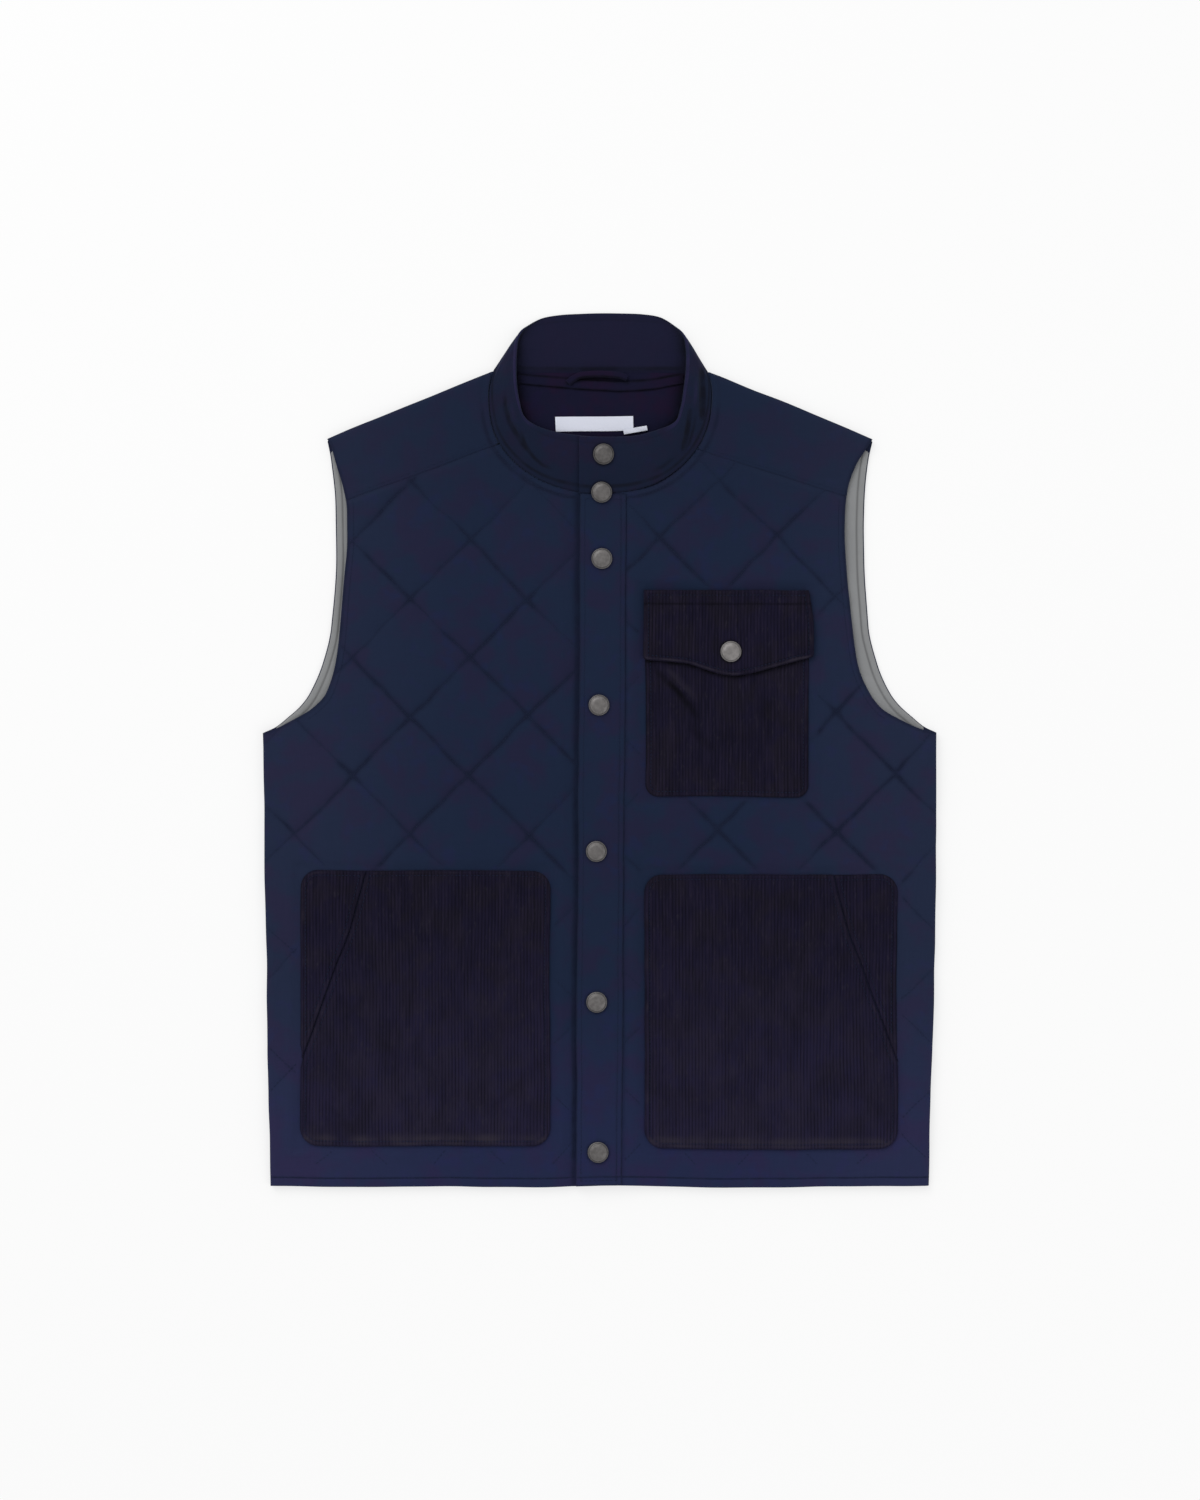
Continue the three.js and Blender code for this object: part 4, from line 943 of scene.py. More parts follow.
def build_front(side):
    """One quilted front, to the yoke seam, with the allowance that runs on under the collar."""
    across, up = QUILT_CROSSING[side]
    end = front_end(side)
    heights = tidy_heights(
        [HEM_Y + rise for rise in HEM_RISES],
        lattice(HEM_Y + 10, ARMPIT_Y - 1, up, FRONT_STEP),
        [ARMPIT_Y - 0.6],
        spread(ARMPIT_Y, ARMPIT_Y + 15, 0.75),
        lattice(ARMPIT_Y + 16, NECK["lowest_y"] - 1, up, FRONT_STEP),
        [YOKE_SEAM[side]["armhole"][1]],
        NECK["lowest_y"] + np.array(NECK_STARTS),
        NECK["lowest_y"] + NECK_ALLOWANCE["reach"] + np.array(NECK_RISES),
        lattice(NECK["lowest_y"] + 16, end - 0.5, up, FRONT_STEP),
        [end],
    )
    rows = fill_rows(heights, *front_edges(side), FRONT_STEP, BORDERS, across)

    def under(x, y):
        rim = [distance_to(EDGES[side][key], x, y) for key in ("armhole", "hem", "side")]
        return front_under(side, x) + edge_drop(np.minimum.reduce(rim), UNDER_ROUND)

    top, marks = partial(front_top, side), partial(front_marks, side)
    return cloth_piece(f"quilted_front_{side}", rows, top, under, marks, under_every=8)


def yoke_top(side, x, y):
    edges = EDGES[side]
    seam = distance_to(edges["yoke"], x, y)
    height = FRONT["top"] + YOKE_RISE - edge_drop(seam, SEAM_ROUND) - groove(np.abs(seam - 3), 0.25, 0.8)
    height = height + 0.25 * BILLOW(x * 1.5, y * 1.5) * smooth_step(4, 20, seam)
    height = height - groove(distance_to(NECK_LINES[side], x, y), *SEWN_RELIEF["band"])
    for fold in YOKE_CREASES[side]:
        height = height - crease(x, y, **fold)
    low = FRONT["bottom"] + NECK_ALLOWANCE["rise"]
    return turned_under(side, x, y, height, low) - outer_drop(edges, x, y)


def build_yoke(side):
    """One plain shoulder yoke, from its seam up to the fold of the shoulder."""
    sign = SIGN[side]
    low = YOKE_SEAM[side]["armhole"][1] + 0.4
    high = NECK_POINT[1] - YOKE_BELOW_NECK_POINT
    heights = tidy_heights(spread(low, high, 2), [TIP[1], TIP[1] - 0.6, TIP[1] + 0.6, low + 0.4, low + 1])

    def outer(y):
        return sign * float(body_half(side, y))

    def inner(y):
        return sign * max(yoke_seam_x(side, y) + SEWN_GAP, float(neck_half(y, NECK_ALLOWANCE["reach"])))

    def marks(x, y):
        band = groove(distance_to(NECK_LINES[side], x, y), *SEAM_MARKS["band"])
        return np.maximum(seam_marks(side, x, y), band * (1 - 0.6 * smooth_step(280, 300, y)))

    rows = fill_rows(heights, *in_order(side, inner, outer), 2, BORDERS)
    top, under = partial(yoke_top, side), level(FRONT["bottom"])
    return cloth_piece(f"shoulder_yoke_{side}", rows, top, under, marks, under_every=6)


# The back, its lining and what lies inside the neck


BACK_FOLDS = [
    chain
    for sign in (-1, 1)
    for chain in (
        chain_along(HEM_Y, ARMPIT_Y, lambda y, sign=sign: sign * body_half("back", y), 12),
        chain_along(TIP[1], NECK_POINT[1], lambda y, sign=sign: sign * shoulder_half(y), 1),
    )
]


def build_back():
    """The back of the shell: quilted below, where it lies pressed flat, and plain inside."""

    def fold_distance(x, y):
        return np.minimum.reduce([distance_to(fold, x, y) for fold in BACK_FOLDS])

    def top(x, y):
        past_inner = smooth_step(*BACK_SHOULDER["inner"], np.abs(x))
        past_outer = smooth_step(*BACK_SHOULDER["outer"], np.abs(x))
        along = past_inner * (1 - past_outer)
        turned = np.where(y > ARMPIT_Y + 2, BACK_RIM["shoulder_share"] * along, 1)
        rim = (1 - smooth_step(BACK_RIM["start"], BACK_RIM["end"], fold_distance(x, y))) * turned
        return BACK_TOP + BACK_RIM["rise"] * rim

    def bottom(x, y):
        fold = fold_distance(x, y)
        sewn = 1 - quilt_puff("back", x, y)
        inside = smooth_step(2, 12, fold) * (y < BACK_YOKE_Y) * smooth_step(HEM_Y + 2, HEM_Y + 12, y)
        seam = groove(y - BACK_YOKE_Y, 0.7, 1.5) + groove(y - HEM_Y - HEM_STITCH_RISE, 0.4, 1.0)
        return edge_drop(fold, BACK_ROUND) + 1.1 * sewn**2 * inside + np.minimum(seam, 0.8)

    def marks(x, y):
        return np.maximum(quilt_mark("back", x, y) * (y < BACK_YOKE_Y), groove(y - BACK_YOKE_Y, 1, 1.5))

    heights = tidy_heights(
        [HEM_Y + rise for rise in HEM_RISES],
        lattice(HEM_Y + 10, ARMPIT_Y - 1, QUILT_CROSSING["back"][1], BACK_STEP),
        spread(ARMPIT_Y, ARMPIT_Y + 15, 1),
        lattice(ARMPIT_Y + 16, BACK_NECK_Y - 1, QUILT_CROSSING["back"][1], BACK_STEP),
        [BACK_NECK_Y],
    )
    rows = fill_rows(heights, *both_sides(partial(body_half, "back")), BACK_STEP, BACK_BORDERS)
    return cloth_piece("shell_back", rows, top, bottom, marks)


def lining_half(y):
    """Half width of the lining, which leaves a narrow rim of shell round the armhole."""
    side = float(body_half("back", min(y, ARMPIT_Y))) - LINING["side"]
    if y <= ARMPIT_Y:
        return side
    half = side
    if y < TIP[1]:
        half = min(half, float(body_half("back", y)) - LINING["shell_shows"])
    raised = y + LINING["shoulder"]
    if raised > TIP[1]:
        half = min(half, float(shoulder_half(raised)))
    if y > LINING_NECK["from_y"]:
        half = min(half, LINING_NECK["half_width"])
    return half


def build_lining():
    """The grey lining, with the seam of its armhole facing and small cross wrinkles."""
    arm = chain_along(ARMPIT_Y + 0.001, TIP[1], partial(body_half, "back"), 120)

    def arm_distance(x, y):
        return np.minimum(distance_to(arm * (-1, 1), x, y), distance_to(arm, x, y))

    def top(x, y):
        distance = arm_distance(x, y)
        near = 1 - smooth_step(14, 30, distance)
        wave = np.sin(y / LINING_WRINKLE["length"] + 2.5 * WRINKLE(x, y))
        wrinkle = LINING_WRINKLE["height"] * wave * (0.4 + 0.6 * UNEVEN(x, y))
        height = LINING["top"] + near * wrinkle - groove(distance - LINING_SEAM, 0.45, 0.7)
        height = np.minimum(height, LINING_WRINKLE["highest"])
        return height - edge_drop(distance - LINING["shell_shows"], LINING_ROUND)

    def marks(x, y):
        return groove(arm_distance(x, y) - LINING_SEAM, 1, 0.8)

    heights = tidy_heights(
        spread(HEM_Y + LINING["hem"], ARMPIT_Y - 12, 8),
        spread(ARMPIT_Y - 10, 45, 1),
        spread(46, TIP[1] - 10, 1.6),
        spread(TIP[1] - 8, LINING_NECK["top_y"], 4),
        [LINING_NECK["from_y"] - 1, LINING_NECK["from_y"] + 1],
    )
    rows = fill_rows(heights, *both_sides(lining_half), 12, LINING_BORDERS)
    return cloth_piece("grey_lining", rows, top, level(LINING["bottom"]), marks, under_every=4)


OPENING = SmoothTable(OPENING_HEIGHTS, OPENING_HALF)


def opening_shade(x, y):
    """Soft shade just inside the folded edge of the collar, strongest at its two sides."""
    away = np.maximum(OPENING(y) - np.abs(x), 0)
    at_sides = smooth_step(40, 66, np.abs(x))
    return (0.25 + 0.75 * at_sides) * np.exp(-away / 6)


def neck_shade(x, y):
    """Shade inside the neck: under the folded collar, beside the tape and under the loop."""
    beside = distance_to(TAPE_PATH, x, y) - NECK_TAPE["width"] / 2
    under_loop = groove(distance_to(LOOP_SHADOW, x, y), 1, 2.6)
    return np.maximum.reduce([opening_shade(x, y), groove(beside - 0.3, 0.9, 1.3), under_loop])


def build_facing():
    """The navy facing inside the back neck, a half oval below its seam."""
    lowest = FACING["centre_y"] - FACING["depth"]

    def half(y):
        share = float(clamp((FACING["centre_y"] - y) / FACING["depth"]))
        return FACING["half_width"] * math.sqrt(1 - share * share) + 0.5

    def top(x, y):
        height = FACING["top"] + 0.16 * BILLOW(2.2 * x, 2.2 * y)
        return np.minimum(height, NECK_LABEL["base"] - 0.12)

    rises = np.array([0, 0.3, 1, 2.2, 4, 6.5])
    heights = tidy_heights(lowest + rises, spread(lowest + 8, FACING["top_y"], 1.2))
    rows = fill_rows(heights, *both_sides(half), 1.5, FACING_BORDERS)
    return cloth_piece("neck_facing", rows, top, level(FACING["bottom"]), neck_shade, under_every=6)


def strip(name, path, width, thickness, lift=None, across=8, marks=None):
    """A flat strip with rounded edges along a path of (x, y, z), its underside on the path."""
    path = np.asarray(path, float)
    normal = side_normals(path[:, :2])
    angle = np.linspace(0, 2 * math.pi, 4 * across, endpoint=False)
    shape_x = np.sign(np.cos(angle)) * np.abs(np.cos(angle)) ** STRIP_SQUARENESS * width / 2
    shape_z = (np.sign(np.sin(angle)) * np.abs(np.sin(angle)) ** STRIP_SQUARENESS + 1) * thickness / 2
    vertices = []
    shades = []
    for at, (x, y, z) in enumerate(path):
        for off, rise in zip(shape_x, shape_z):
            spot = (x + normal[at, 0] * off, y + normal[at, 1] * off)
            shades.append(marks(spot, off / (width / 2)) if marks else 0)
            extra = lift(at / (len(path) - 1), off / (width / 2)) if lift else 0
            vertices.append((*spot, z + rise + extra))
    made = new_object(name, vertices, ring_faces(len(path), len(angle)), shades)
    correct_normals(made)
    return made


def build_neck_tape():
    """The tape over the back neck seam, with painted shade at its edges and painted shadow under the loop."""
    points = np.array(TAPE_PATH, float)
    x = np.linspace(points[0, 0], points[-1, 0], 90)
    y = SmoothTable(points[:, 0], points[:, 1])(x) + 0.25 * UNEVEN(x, x)
    path = np.column_stack([x, y, NECK_TAPE["bottom"] + 0 * x])

    def marks(spot, side):
        spot = np.array([spot])
        under_loop = float(groove(distance_to(LOOP_SHADOW, spot[:, 0], spot[:, 1]), 1, 1.9)[0])
        shade = float(opening_shade(spot[:, 0], spot[:, 1])[0])
        return max(0.95 * abs(side) ** 3, under_loop, shade)

    return strip("neck_seam_tape", path, NECK_TAPE["width"], NECK_TAPE["thickness"], marks=marks)


def build_loop():
    """The hanging loop: a narrow sewn tube that lies in a shallow wave, its ends under the tape line."""
    points = np.array(LOOP_PATH, float)
    place = np.linspace(0, len(points) - 1, 50)
    curves = [SmoothTable(range(len(points)), points[:, k]) for k in (0, 1)]
    x, y = curves[0](place), curves[1](place)
    share = place / place[-1]
    z = LOOP["bottom"] + LOOP["arch"] * np.sin(math.pi * share) ** 1.2

    # Painted shade on the lower half of the loop.
    def lower(_, side):
        return float(clamp(-1.5 * side - 0.1))

    return strip("hanging_loop", np.column_stack([x, y, z]), LOOP["width"], LOOP["thickness"], marks=lower)


def build_label(name, plate, slope, curl):
    """A bare woven label or tab, a little aslant, with both ends curled up."""
    x = np.linspace(plate["left"], plate["right"], 40)
    middle = (plate["top"] + plate["bottom"]) / 2
    y = middle + slope * (x - (plate["left"] + plate["right"]) / 2)
    path = np.column_stack([x, y, 0 * x + plate["base"]])

    def lift(share, side):
        return curl * (2 * share - 1) ** 4 + 0.12 * math.sin(9 * share + 2 * side) + 0.12

    return strip(name, path, plate["top"] - plate["bottom"], plate["thickness"], lift=lift, across=10)


# Corduroy patches and the placket


def wales(x):
    """The corduroy's ribs, as heights about their own middle."""
    share = np.abs(np.sin(math.pi * x * MM / sizes().wale_pitch))
    return sizes().wale_height / MM * (share**0.7 - 0.5)


def outline_chain(heights, left, right):
    sides = [(float(left(y)), y) for y in heights] + [(float(right(y)), y) for y in reversed(heights)]
    return np.array(sides + sides[:1])


PATCHES = {}


def build_patch(name, side, heights, edges, thickness, marks, extra=None, lift=GAP, ribbed=True):
    """A patch on a front, made from the front's own surface, moved out."""
    outline = outline_chain(heights[:: max(1, len(heights) // 70)] + heights[-1:], *edges)

    def under(x, y):
        return front_top(side, x, y) + lift

    def top(x, y):
        distance = distance_to(outline, x, y)
        height = under(x, y) + thickness - edge_drop(distance, PATCH_ROUND)
        if ribbed:
            height = height + wales(x) * smooth_step(-0.2, 1.2, distance)
        return height + extra(x, y, distance) if extra else height

    def shade(x, y):
        return marks(x, y, distance_to(outline, x, y))

    step = sizes().wale_pitch / MM / CORDUROY_STEP if ribbed else PLAIN_STEP
    rows = fill_rows(heights, *edges, step, RIBBED_BORDERS if ribbed else PLAIN_BORDERS)
    PATCHES[name] = (outline, top)
    return cloth_piece(name, rows, top, under, shade, under_every=8)


def corner_inset(radius, rise):
    """How far a rounded corner lies inside its straight edge, at a rise above its end."""
    short = clamp(1 - np.asarray(rise, float) / radius)
    return float(radius * (1 - np.sqrt(1 - short * short)))


def corner_rises(radius):
    return radius * np.array(CORNER_SHARES)


def edge_sewing(x, y, distance):
    """Sinks the line of edge stitching, and lets the edge beyond it roll up a little."""
    rolled = groove(distance - 2.2, 0.14, 1.4)
    return rolled - groove(distance - EDGE_STITCH, 0.3, 0.8) + 0.22 * UNEVEN(x * 1.3, y * 0.8)


def edge_mark(x, y, distance):
    """Dark sewing, painted shade along the outline, and between them a paler edge that comes and goes: worn
    pile with a painted highlight on the rolled edge.
    """
    dark = groove(distance - EDGE_STITCH, 0.42, 1.1) + groove(distance, 0.6, 0.9)
    worn_edge_and_highlight = groove(distance - 2.2, 0.55, 1.6) * clamp(0.2 + 0.8 * UNEVEN(1.4 * x, 1.4 * y))
    return dark - worn_edge_and_highlight


def snap_painted_shadow(x, y):
    """Painted shadow: a dark ring on the cloth round each snap."""
    rings = [groove(np.hypot(x - spot[0], y - spot[1]) - SNAP_RADIUS, 1, 1.5) for spot in ALL_SNAPS]
    return np.maximum.reduce(rings)


ENTRY_CURVE = SmoothTable(*zip(*POCKET_ENTRY))


def entry_x(side, y):
    """The slanted hand entry, which bends in a little; it ends just inside the pocket's outer edge."""
    return float(ENTRY_CURVE(y - LOWER_POCKET[side]["top"]))


def pocket_edges(side):
    """The two edges of a lower pocket, and those of the corner behind its slanted hand entry."""
    sign = SIGN[side]
    box = LOWER_POCKET[side]
    entry_end = box["top"] + POCKET_ENTRY[0][0]

    def inset(y):
        rises = (y - box["bottom"], box["top"] - y)
        return max(corner_inset(POCKET_CORNER_RADIUS, rise) for rise in rises)

    def inner(y):
        return sign * (box["inner"] + inset(y))

    def outer(y):
        slanted = entry_x(side, y) - GAP
        if y < entry_end:
            return sign * (mix(slanted, box["outer"], smooth_step(0, 9, entry_end - y)) - inset(y))
        return sign * min(box["outer"] - inset(y), slanted)

    def corner_inner(y):
        return sign * (entry_x(side, y) + GAP)

    def corner_outer(y):
        tip = mix(entry_x(side, y) + GAP + 0.5, box["outer"], smooth_step(-3, 12, y - entry_end))
        return sign * (max(tip, entry_x(side, y) + GAP + 0.5) - inset(y))

    return in_order(side, inner, outer), in_order(side, corner_inner, corner_outer)


def build_lower_pocket(side):
    """A patch pocket with a slanted hand entry, and the corner behind it."""
    box = LOWER_POCKET[side]
    edges, corner_edges = pocket_edges(side)
    low, high = box["bottom"] + POCKET_CORNER_RADIUS, box["top"] - POCKET_CORNER_RADIUS
    rises = corner_rises(POCKET_CORNER_RADIUS)

    def marks(x, y, distance):
        """Edges, soft painted shade along the quilting of the front beneath, and a paler band above the
        bottom edge.
        """
        first, second = [line[0] for line in quilt_lines(side, x, y)]
        through = 0.35 * groove(np.minimum(first, second), 1, 5) * clamp(0.3 + FADING(y, x))
        hem = groove(y - box["bottom"] - 6, 1.1, 4) * clamp(0.7 + 0.5 * UNEVEN(y, x))
        return edge_mark(x, y, distance) + through * smooth_step(4, 12, distance) - hem

    heights = tidy_heights(box["bottom"] + rises, box["top"] - rises, spread(low, high, 3.6))
    name = f"corduroy_pocket_{side}"
    pocket = build_patch(name, side, heights, edges, POCKET_THICKNESS, marks, edge_sewing)
    entry_low = box["top"] + POCKET_ENTRY[0][0] + 1
    behind = tidy_heights([entry_low], spread(entry_low, high, 3.6), box["top"] - rises)
    name = f"corduroy_corner_{side}"
    corner = build_patch(name, side, behind, corner_edges, CORNER_THICKNESS, edge_mark)
    return pocket, corner


def build_chest_pocket():
    """The chest pocket, pressed flat under its flap and creased below it."""
    box = CHEST_POCKET
    flap_line = [*reversed(FLAP_EDGE["left"]), *FLAP_EDGE["right"][:7]]

    def inset(y):
        return corner_inset(box["radius"], y - box["bottom"])

    def extra(x, y, distance):
        height = edge_sewing(x, y, distance)
        for fold in CHEST_CREASES:
            height = height - crease(x, y, **fold) * (1 - smooth_step(58, 66, y))
        return np.where(y > 60, np.minimum(height, 0.1), height)

    def marks(x, y, distance):
        """Edges, the painted shadow under the flap, painted shade along the creases and painted highlight
        along the ridge beside them.
        """
        below_flap = groove(distance_to(flap_line, x, y), 1, 3)
        folds = 0
        for fold in CHEST_CREASES:
            folds = folds + crease(x, y, fold["path"], 0.9 * fold["depth"], fold["width"])
        return edge_mark(x, y, distance) + np.clip(folds, -0.5, 0.9) + below_flap

    rises = corner_rises(box["radius"])
    heights = tidy_heights(box["bottom"] + rises, spread(box["bottom"] + box["radius"], box["top"], 2.6))
    edges = (lambda y: box["inner"] + inset(y), lambda y: box["outer"] - inset(y))
    return build_patch("corduroy_chest_pocket", "left", heights, edges, box["thickness"], marks, extra)


def build_chest_flap():
    """The pointed flap, which lies on the chest pocket and is sewn down along its top."""
    flap = CHEST_FLAP
    low_y = FLAP_EDGE["left"][0][1]
    curves = [SmoothTable(*zip(*[(y, x) for x, y in FLAP_EDGE[side]])) for side in ("left", "right")]

    def extra(x, y, distance):
        seam = groove(y - FLAP_SEAM_Y, 0.5, 0.9)
        return edge_sewing(x, y, distance) + groove(distance - 2.2, 0.35, 1.2) * (y < 90) - seam

    def marks(x, y, distance):
        seam = groove(y - FLAP_SEAM_Y, 0.6, 1.2)
        # Painted highlight along the flap's rolled lower edge.
        rim = groove(distance - 1.4, 0.85, 1) * (y < 90) * clamp(0.6 + 0.6 * UNEVEN(2 * x, y))
        return edge_mark(x, y, distance) - rim + seam + snap_painted_shadow(x, y)

    heights = tidy_heights(
        low_y + np.array([0, 0.08, 0.25, 0.5]),
        spread(low_y + 0.8, flap["side_y"] + 1, 0.4),
        spread(flap["side_y"] + 2, flap["top"] - 1.5, 2.4),
        flap["top"] - np.array([0, 0.3, 0.8, 1.4]),
        FLAP_SEAM_Y + np.array([-1.2, -0.6, 0, 0.6, 1.2]),
    )
    thickness = flap["thickness"]
    return build_patch("corduroy_chest_flap", "left", heights, curves, thickness, marks, extra, FLAP_LIFT)


def build_placket():
    """The band down the edge of the left front, slightly rippled along both edges."""

    def left(y):
        return placket_left(y) - 0.2

    def right(y):
        return left(y) + PLACKET["width"]

    def extra(x, y, distance):
        from_right = right(y) - x
        ripple = 0.12 * np.sin(y / 4.3 + 2 * UNEVEN(x, y)) * np.exp(-np.minimum(distance, from_right) / 5)
        low = 0.3 * BILLOW(0.4 * x, y) * smooth_step(3, 9, distance)
        hem_dip = groove(y - HEM_Y - HEM_STITCH_RISE, 0.3, 1.0)
        return ripple + low - groove(from_right - 1.6, 0.3, 0.8) - hem_dip

    def marks(x, y, distance):
        right_line = 0.45 * groove(right(y) - x - EDGE_STITCH, 1, 0.9)
        hem_line = 0.7 * groove(y - HEM_Y - HEM_STITCH_RISE, 1, 0.9)
        return np.maximum.reduce([0.8 * groove(distance, 1, 1.2), right_line, hem_line, snap_painted_shadow(x, y)])

    at_hem = [HEM_Y + 0.4 + rise for rise in HEM_RISES]
    heights = tidy_heights(at_hem, spread(HEM_Y + 10, PLACKET["top_y"], 2.4))
    thickness = PLACKET["thickness"]
    return build_patch("snap_placket", "left", heights, (left, right), thickness, marks, extra, ribbed=False)


# The collar


def spline_through(points, count):
    """A smooth uniform curve through points, sampled at evenly spaced shares of its stations."""
    padded = np.vstack([2 * points[0] - points[1], points, 2 * points[-1] - points[-2]])
    place = np.linspace(0, len(points) - 1, count)
    at = np.minimum(place.astype(int), len(points) - 2)
    t = (place - at)[:, None]
    a, b, c, d = padded[at], padded[at + 1], padded[at + 2], padded[at + 3]
    return 0.5 * (2 * b + (c - a) * t + (2 * a - 5 * b + 4 * c - d) * t**2 + (3 * b - a - 3 * c + d) * t**3)


def collar_profile(height):
    """Up the wall and down inside it: each point's share of the height, and its side of the wall."""
    half = COLLAR_THICKNESS / 2
    turn = np.linspace(0, math.pi, 9)[1:-1]
    foot_levels = COLLAR_FOOT_ROLL * np.array(COLLAR_FOOT_SHARES) - COLLAR_RUN_ON
    levels = np.concatenate([foot_levels, np.linspace(0.05, 1 - half / height, COLLAR_UP)])
    up = np.concatenate([levels, 1 - half / height + np.sin(turn) * half / height, levels[::-1]])
    side = np.concatenate([np.ones(len(levels)), np.cos(turn), -np.ones(len(levels))])
    roll = clamp(1 - (up + COLLAR_RUN_ON) / COLLAR_FOOT_ROLL)
    return up, side * (0.2 + 0.8 * np.sqrt(1 - roll**2))


def collar_marks(x, y, up, side, height, dent):
    """How dark the collar looks in sewing lines, painted shade in its folds and inside it, and painted shadow
    round its snaps, less the painted highlight on its rim and ridges.
    """
    outer = side[None, :] > 0
    from_top = (1 - up) * height
    foot = groove((up + COLLAR_RUN_ON) * height, 0.3, 1.6)
    foot = np.maximum(foot, groove(up * height - COLLAR_FOOT_LINE, 0.85, 1.9))
    lines = np.maximum(foot, groove(from_top - COLLAR_EDGE_LINE, 0.5, 0.9))
    shade = opening_shade(x, y) * (side[None, :] < -0.2)
    # Painted shade in the folds; painted highlight on the rim and the ridges.
    folded = clamp(1.3 * dent) * outer
    rim = groove(from_top - COLLAR_RIM_HIGHLIGHT["from_top"], 1, COLLAR_RIM_HIGHLIGHT["width"])[None, :]
    rim = rim * smooth_step(*COLLAR_RIM_HIGHLIGHT["beside"], np.abs(x)) * outer
    paler = np.maximum(rim, clamp(-0.9 * dent) * outer)
    marks = np.maximum.reduce([lines[None, :] + 0 * x, folded, shade, snap_painted_shadow(x, y)])
    return (marks - paler * (1 - marks)).ravel()


def build_collar():
    """One wall round the neck, with a rolled top edge, soft creases and its left end on top."""
    stations = np.array(COLLAR_STATIONS, float)
    foot = spline_through(stations[:, :3], COLLAR_AROUND + 1)
    head = spline_through(stations[:, 3:], COLLAR_AROUND + 1)
    height = float(np.linalg.norm(head - foot, axis=1).mean())
    up, side = collar_profile(height)
    middle = foot[:, None] + (head - foot)[:, None] * up[None, :, None]
    around = np.gradient(foot, axis=0)[:, None] * (1 - up)[None, :, None]
    around = around + np.gradient(head, axis=0)[:, None] * up[None, :, None]
    normal = np.cross(np.broadcast_to((head - foot)[:, None], middle.shape), around)
    normal = normal / np.linalg.norm(normal, axis=2)[:, :, None]
    x, y, z = middle[:, :, 0], middle[:, :, 1], middle[:, :, 2]
    standing = clamp((z - 3) / 3)
    bulge = COLLAR_BULGE * np.sin(math.pi * up)[None, :] * standing
    share = np.linspace(0, 1, COLLAR_AROUND + 1)[:, None] * np.ones((1, len(up)))
    dent = sum(crease(x, y, **fold) for fold in COLLAR_CREASES)
    wave = WRINKLE(share * COLLAR_WAVE["around"], up[None, :] * COLLAR_WAVE["up"])
    wave = COLLAR_WAVE["height"] * wave * standing
    sewn = groove((1 - up) * height - COLLAR_EDGE_LINE, 0.3, 0.9)[None, :] * (side[None, :] > 0.5)
    off = side[None, :] * (COLLAR_THICKNESS / 2) + bulge - dent * standing + wave - sewn
    place = middle + normal * off[:, :, None]
    place[:, :, 2] = np.maximum(place[:, :, 2], 0.0)
    faces = ring_faces(place.shape[0], place.shape[1])
    marks = collar_marks(x, y, up, side, height, dent)
    made = new_object("stand_collar", place.reshape(-1, 3), faces, marks)
    set_attribute(made.data, "inner", np.broadcast_to(clamp(-side)[None, :], x.shape))
    correct_normals(made)
    made["cut_length"] = float(np.linalg.norm(np.diff((foot + head) / 2, axis=0), axis=1).sum()) * MM
    made["cut_width"] = height * MM
    return made


# Snap caps


def turned(name, profile, x, y, z, lean, tone):
    """A shape turned round an upright axis from (radius, height) pairs, closed at both poles."""
    angle = np.linspace(0, 2 * math.pi, SNAP_SIDES, endpoint=False)
    vertices = [(0, 0, profile[0][1])]
    for radius, height in profile[1:-1]:
        vertices += [(radius * math.cos(a), radius * math.sin(a), height) for a in angle]
    vertices.append((0, 0, profile[-1][1]))
    faces = []
    rings = len(profile) - 2
    last = len(vertices) - 1
    for k in range(SNAP_SIDES):
        n = (k + 1) % SNAP_SIDES
        faces.append((0, 1 + n, 1 + k))
        faces.append((last, 1 + (rings - 1) * SNAP_SIDES + k, 1 + (rings - 1) * SNAP_SIDES + n))
        for ring in range(rings - 1):
            a, b = 1 + ring * SNAP_SIDES + k, 1 + ring * SNAP_SIDES + n
            faces.append((a, b, b + SNAP_SIDES, a + SNAP_SIDES))
    points = np.array(vertices, float)
    tilted = points.copy()
    tilted[:, 1] = points[:, 1] * math.cos(lean) - points[:, 2] * math.sin(lean)
    tilted[:, 2] = points[:, 1] * math.sin(lean) + points[:, 2] * math.cos(lean)
    middle = laid(np.array([[x, y, z]], float))
    made = new_object(name, tilted + middle, faces, stiff=True)
    correct_normals(made)
    set_attribute(made.data, "centre", points * MM, "FLOAT_VECTOR", "vector")
    set_attribute(made.data, "tone", np.full(len(points), tone))
    return made


def snap_profile():
    """A thin lip, a rounded rim, a shallow ring groove and a nearly flat cap."""
    r, h = SNAP_RADIUS, SNAP_HEIGHT
    rim = [(r - 0.35 + 0.35 * math.cos(a), 0.45 + 0.45 * math.sin(a)) for a in np.linspace(-1.2, 1.2, 6)]
    shoulder = []
    for a in (0.25, 0.6, 1, 1.35):
        shoulder.append((r - 0.9 - 0.9 * (1 - math.cos(a)), 0.95 + (h * 0.8 - 0.95) * math.sin(a)))
    ring = [(r * 0.78, h * 0.83), (r * 0.755, h * 0.815), (r * 0.73, h * 0.83), (r * 0.7, h * 0.86)]
    cap = [(r * share, h * (1 - 0.12 * share**2)) for share in (0.62, 0.5, 0.38, 0.25, 0.12)]
    return [(0, 0), (r - 0.8, 0)] + rim + shoulder + ring + cap + [(0, h)]


# Stitching


